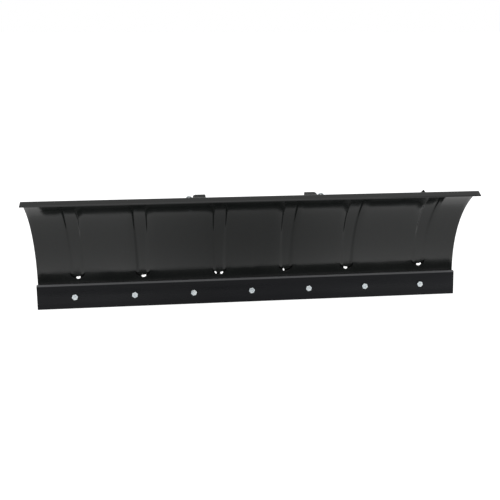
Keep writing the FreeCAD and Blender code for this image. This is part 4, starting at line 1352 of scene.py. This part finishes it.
def make_shoes():
    """Dished shoes, their posts, spacers and lynch pins."""
    iron = FINISHES["iron"]
    zinc = FINISHES["zinc"]
    for side in dict(SIDES):
        body = "shoe_" + side
        low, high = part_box("skid_dish_" + side)
        middle = (low + high) / 2
        place = Vector((middle.x, middle.y, 0))
        rim = (high.x - low.x) / 2
        outline = [(0, 0), (rim * 0.42, 0.0)]
        for step in range(1, 9):
            share = step / 8
            outline.append((rim * (0.42 + 0.58 * share), 0.016 * share ** 1.8))
        outline += [(rim - 0.0006, 0.0185), (rim - 0.0025, 0.0205)]
        for step in range(7, -1, -1):
            share = step / 8
            outline.append((rim * (0.42 + 0.53 * share), 0.005 + 0.0145 * share ** 1.8))
        outline += [(0.0215, 0.0052), (0.020, 0.0065), (0.0195, 0.0125), (0.0185, 0.0139), (0, 0.0139)]
        dish = lathe("shoe_dish_" + side, outline, 72, closed=False)
        turned(dish, place, None, iron, body, "shoe_iron", "skid_dish_" + side, 45.0)

        low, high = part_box("skid_post_" + side)
        top = high.z - low.z
        outline = ((0, 0), (0.0125, 0), (0.0125, top - 0.002), (0.0108, top), (0, top))
        post = lathe("shoe_post_" + side, outline, 48, closed=False)
        place = (middle.x, middle.y, low.z)
        turned(post, place, None, zinc, body, "zinc", "skid_post_" + side)

        low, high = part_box("skid_spacers_" + side)
        source = washer("spacer", (high.x - low.x) / 2, 0.0129, 0.0057, 0.0006)
        first = (middle.x, middle.y, low.z)
        stack = row_of("shoe_spacers_" + side, source, zinc, 6, first, (0, 0, 0.006), seed=4)
        finished(stack, body, "zinc", "skid_spacers_" + side, crease=25.0)

        low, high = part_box("lynch_pin_" + side)
        level = (low.z + high.z) / 2
        shaft = rod("lynch", 0.0038, 0.040, 0.0012, 24)
        set_place(shaft, (middle.x, middle.y - 0.021, level), (0, 1, 0))
        shaft.data.materials.append(zinc)
        outline = ((0, 0), (0.0058, 0), (0.0068, 0.001), (0.007, 0.003))
        outline += ((0.007, 0.0075), (0.006, 0.009), (0, 0.009))
        knob = lathe("knob", outline, 28, closed=False)
        set_place(knob, (middle.x, low.y, level), (0, 1, 0))
        knob.data.materials.append(zinc)
        centre = Vector((middle.x, middle.y - 0.0025, level))
        loop = ring_points(centre, 0.0205, (0, 1, 0), (1, 0, 0), math.radians(8), math.radians(344), 40)
        ring = wire("ring", loop, 0.0011, zinc, 8)
        pin = joined("lynch_pin_set_" + side, [shaft, knob, ring])
        finished(pin, body, "zinc", "lynch_pin_" + side, crease=40.0)


# ------------------------------------------------------------------ stage


def area_light(label, place, target, size, power, colour=(1, 1, 1)):
    data = bpy.data.lights.new(label, "AREA")
    data.shape = "RECTANGLE"
    data.size, data.size_y = size
    data.energy = power
    data.color = colour
    item = bpy.data.objects.new(label, data)
    bpy.context.scene.collection.objects.link(item)
    item.location = place
    item.rotation_euler = (Vector(target) - Vector(place)).to_track_quat("-Z", "Y").to_euler()
    return item


def make_stage():
    stage = settings("stage_settings")
    corners = [(-15, -15, 0), (15, -15, 0), (15, 25, 0), (-15, 25, 0)]
    floor = new_object("stage_floor", mesh_from("stage_floor", corners, [(0, 1, 2, 3)]))
    floor.location.z = FLOOR
    floor.data.materials.append(floor_finish())

    cards = (
        ("stage_dark_card", card_finish(), 4.0, 4.5, EDGE.y - stage.card_gap, 0.002),
        ("stage_sheen_card", sheen_finish(), 2.0, stage.card_gap, EDGE.y, 0.001),
    )
    for label, material, half, deep, place, lift in cards:
        corners = [(-half, -deep, 0), (half, -deep, 0), (half, 0, 0), (-half, 0, 0)]
        card = new_object(label, mesh_from(label, corners, [(0, 1, 2, 3)]))
        card.location = (0, place, FLOOR + lift)
        card.data.materials.append(material)
        card.visible_camera = False
        card.visible_diffuse = False
        card.visible_shadow = False

    world = bpy.data.worlds.new("Studio room")
    bpy.context.scene.world = world
    world.use_nodes = True
    background = world.node_tree.nodes["Background"]
    background.inputs["Color"].default_value = (1, 1, 1, 1)
    background.inputs["Strength"].default_value = stage.room_light
    bpy.context.scene.view_settings.view_transform = "Standard"

    area_light("Overhead", (0, 0.1, 3.0), (0, 0, 0.2), (2.6, 1.6), stage.key_power)

    camera = bpy.data.objects.new("Camera", bpy.data.cameras.new("Camera"))
    bpy.context.scene.collection.objects.link(camera)
    camera.data.sensor_width = 36.0
    camera.data.lens = stage.lens
    camera.location = EDGE + Vector(stage.camera_place)
    aim = Euler((math.pi / 2 - stage.camera_pitch, 0, -stage.camera_yaw)).to_matrix()
    camera.rotation_euler = (aim @ Matrix.Rotation(stage.camera_roll, 3, "Z")).to_euler()
    bpy.context.scene.camera = camera


# ------------------------------------------------------------------ operators and panel


class SNOWBLADE_OT_finishes(bpy.types.Operator):
    """Make the paints and metals"""

    bl_idname = "snowblade.finishes"
    bl_label = "Make finishes"

    def execute(self, context):
        make_finishes()
        return {"FINISHED"}


class SNOWBLADE_OT_sheet(bpy.types.Operator):
    """Make the pressed and rolled sheet"""

    bl_idname = "snowblade.sheet"
    bl_label = "Make sheet"

    def execute(self, context):
        make_sheet()
        return {"FINISHED"}


class SNOWBLADE_OT_bar(bpy.types.Operator):
    """Make the wear bar"""

    bl_idname = "snowblade.bar"
    bl_label = "Make wear bar"

    def execute(self, context):
        make_bar()
        return {"FINISHED"}


class SNOWBLADE_OT_fasteners(bpy.types.Operator):
    """Make the wear bar's bolts, washers and nuts"""

    bl_idname = "snowblade.fasteners"
    bl_label = "Make fasteners"

    def execute(self, context):
        make_fasteners()
        return {"FINISHED"}


class SNOWBLADE_OT_back(bpy.types.Operator):
    """Make the plates, eye bolts, pins and welds behind the sheet"""

    bl_idname = "snowblade.back"
    bl_label = "Make back of blade"

    def execute(self, context):
        make_back_plates()
        make_blade_welds()
        make_eyebolts()
        make_pivot_pins()
        return {"FINISHED"}


class SNOWBLADE_OT_trip_frame(bpy.types.Operator):
    """Make the trip frame"""

    bl_idname = "snowblade.trip_frame"
    bl_label = "Make trip frame"

    def execute(self, context):
        make_trip_frame()
        make_frame_welds()
        return {"FINISHED"}


class SNOWBLADE_OT_springs(bpy.types.Operator):
    """Make the trip springs"""

    bl_idname = "snowblade.springs"
    bl_label = "Make springs"

    def execute(self, context):
        make_springs()
        return {"FINISHED"}


class SNOWBLADE_OT_shoes(bpy.types.Operator):
    """Make the skid shoes"""

    bl_idname = "snowblade.shoes"
    bl_label = "Make skid shoes"

    def execute(self, context):
        make_shoes()
        return {"FINISHED"}


class SNOWBLADE_OT_stage(bpy.types.Operator):
    """Make the floor, lights and camera"""

    bl_idname = "snowblade.stage"
    bl_label = "Make stage"

    def execute(self, context):
        make_stage()
        return {"FINISHED"}


OPERATORS = (
    SNOWBLADE_OT_finishes,
    SNOWBLADE_OT_sheet,
    SNOWBLADE_OT_bar,
    SNOWBLADE_OT_fasteners,
    SNOWBLADE_OT_back,
    SNOWBLADE_OT_trip_frame,
    SNOWBLADE_OT_springs,
    SNOWBLADE_OT_shoes,
    SNOWBLADE_OT_stage,
)


class SNOWBLADE_PT_panel(bpy.types.Panel):
    """Sizes, colours and the pieces to make."""

    bl_idname = "SNOWBLADE_PT_panel"
    bl_label = "Snow blade"
    bl_space_type = "VIEW_3D"
    bl_region_type = "UI"
    bl_category = "Snow blade"

    def draw(self, context):
        for name, group in SETTINGS:
            box = self.layout.box()
            box.label(text=name.replace("_", " ").capitalize())
            for setting in group.__annotations__:
                box.prop(getattr(context.scene, "blade_" + name), setting)
        for operator in OPERATORS:
            self.layout.operator(operator.bl_idname)


def register():
    for name, group in SETTINGS:
        bpy.utils.register_class(group)
        setattr(bpy.types.Scene, "blade_" + name, bpy.props.PointerProperty(type=group))
    for item in OPERATORS + (SNOWBLADE_PT_panel,):
        bpy.utils.register_class(item)


def unregister():
    for item in (SNOWBLADE_PT_panel,) + OPERATORS[::-1]:
        bpy.utils.unregister_class(item)
    for name, group in SETTINGS[::-1]:
        delattr(bpy.types.Scene, "blade_" + name)
        bpy.utils.unregister_class(group)


def main():
    register()
    for operator in OPERATORS:
        group, name = operator.bl_idname.split(".")
        getattr(getattr(bpy.ops, group), name)()


if __name__ == "__main__":
    main()
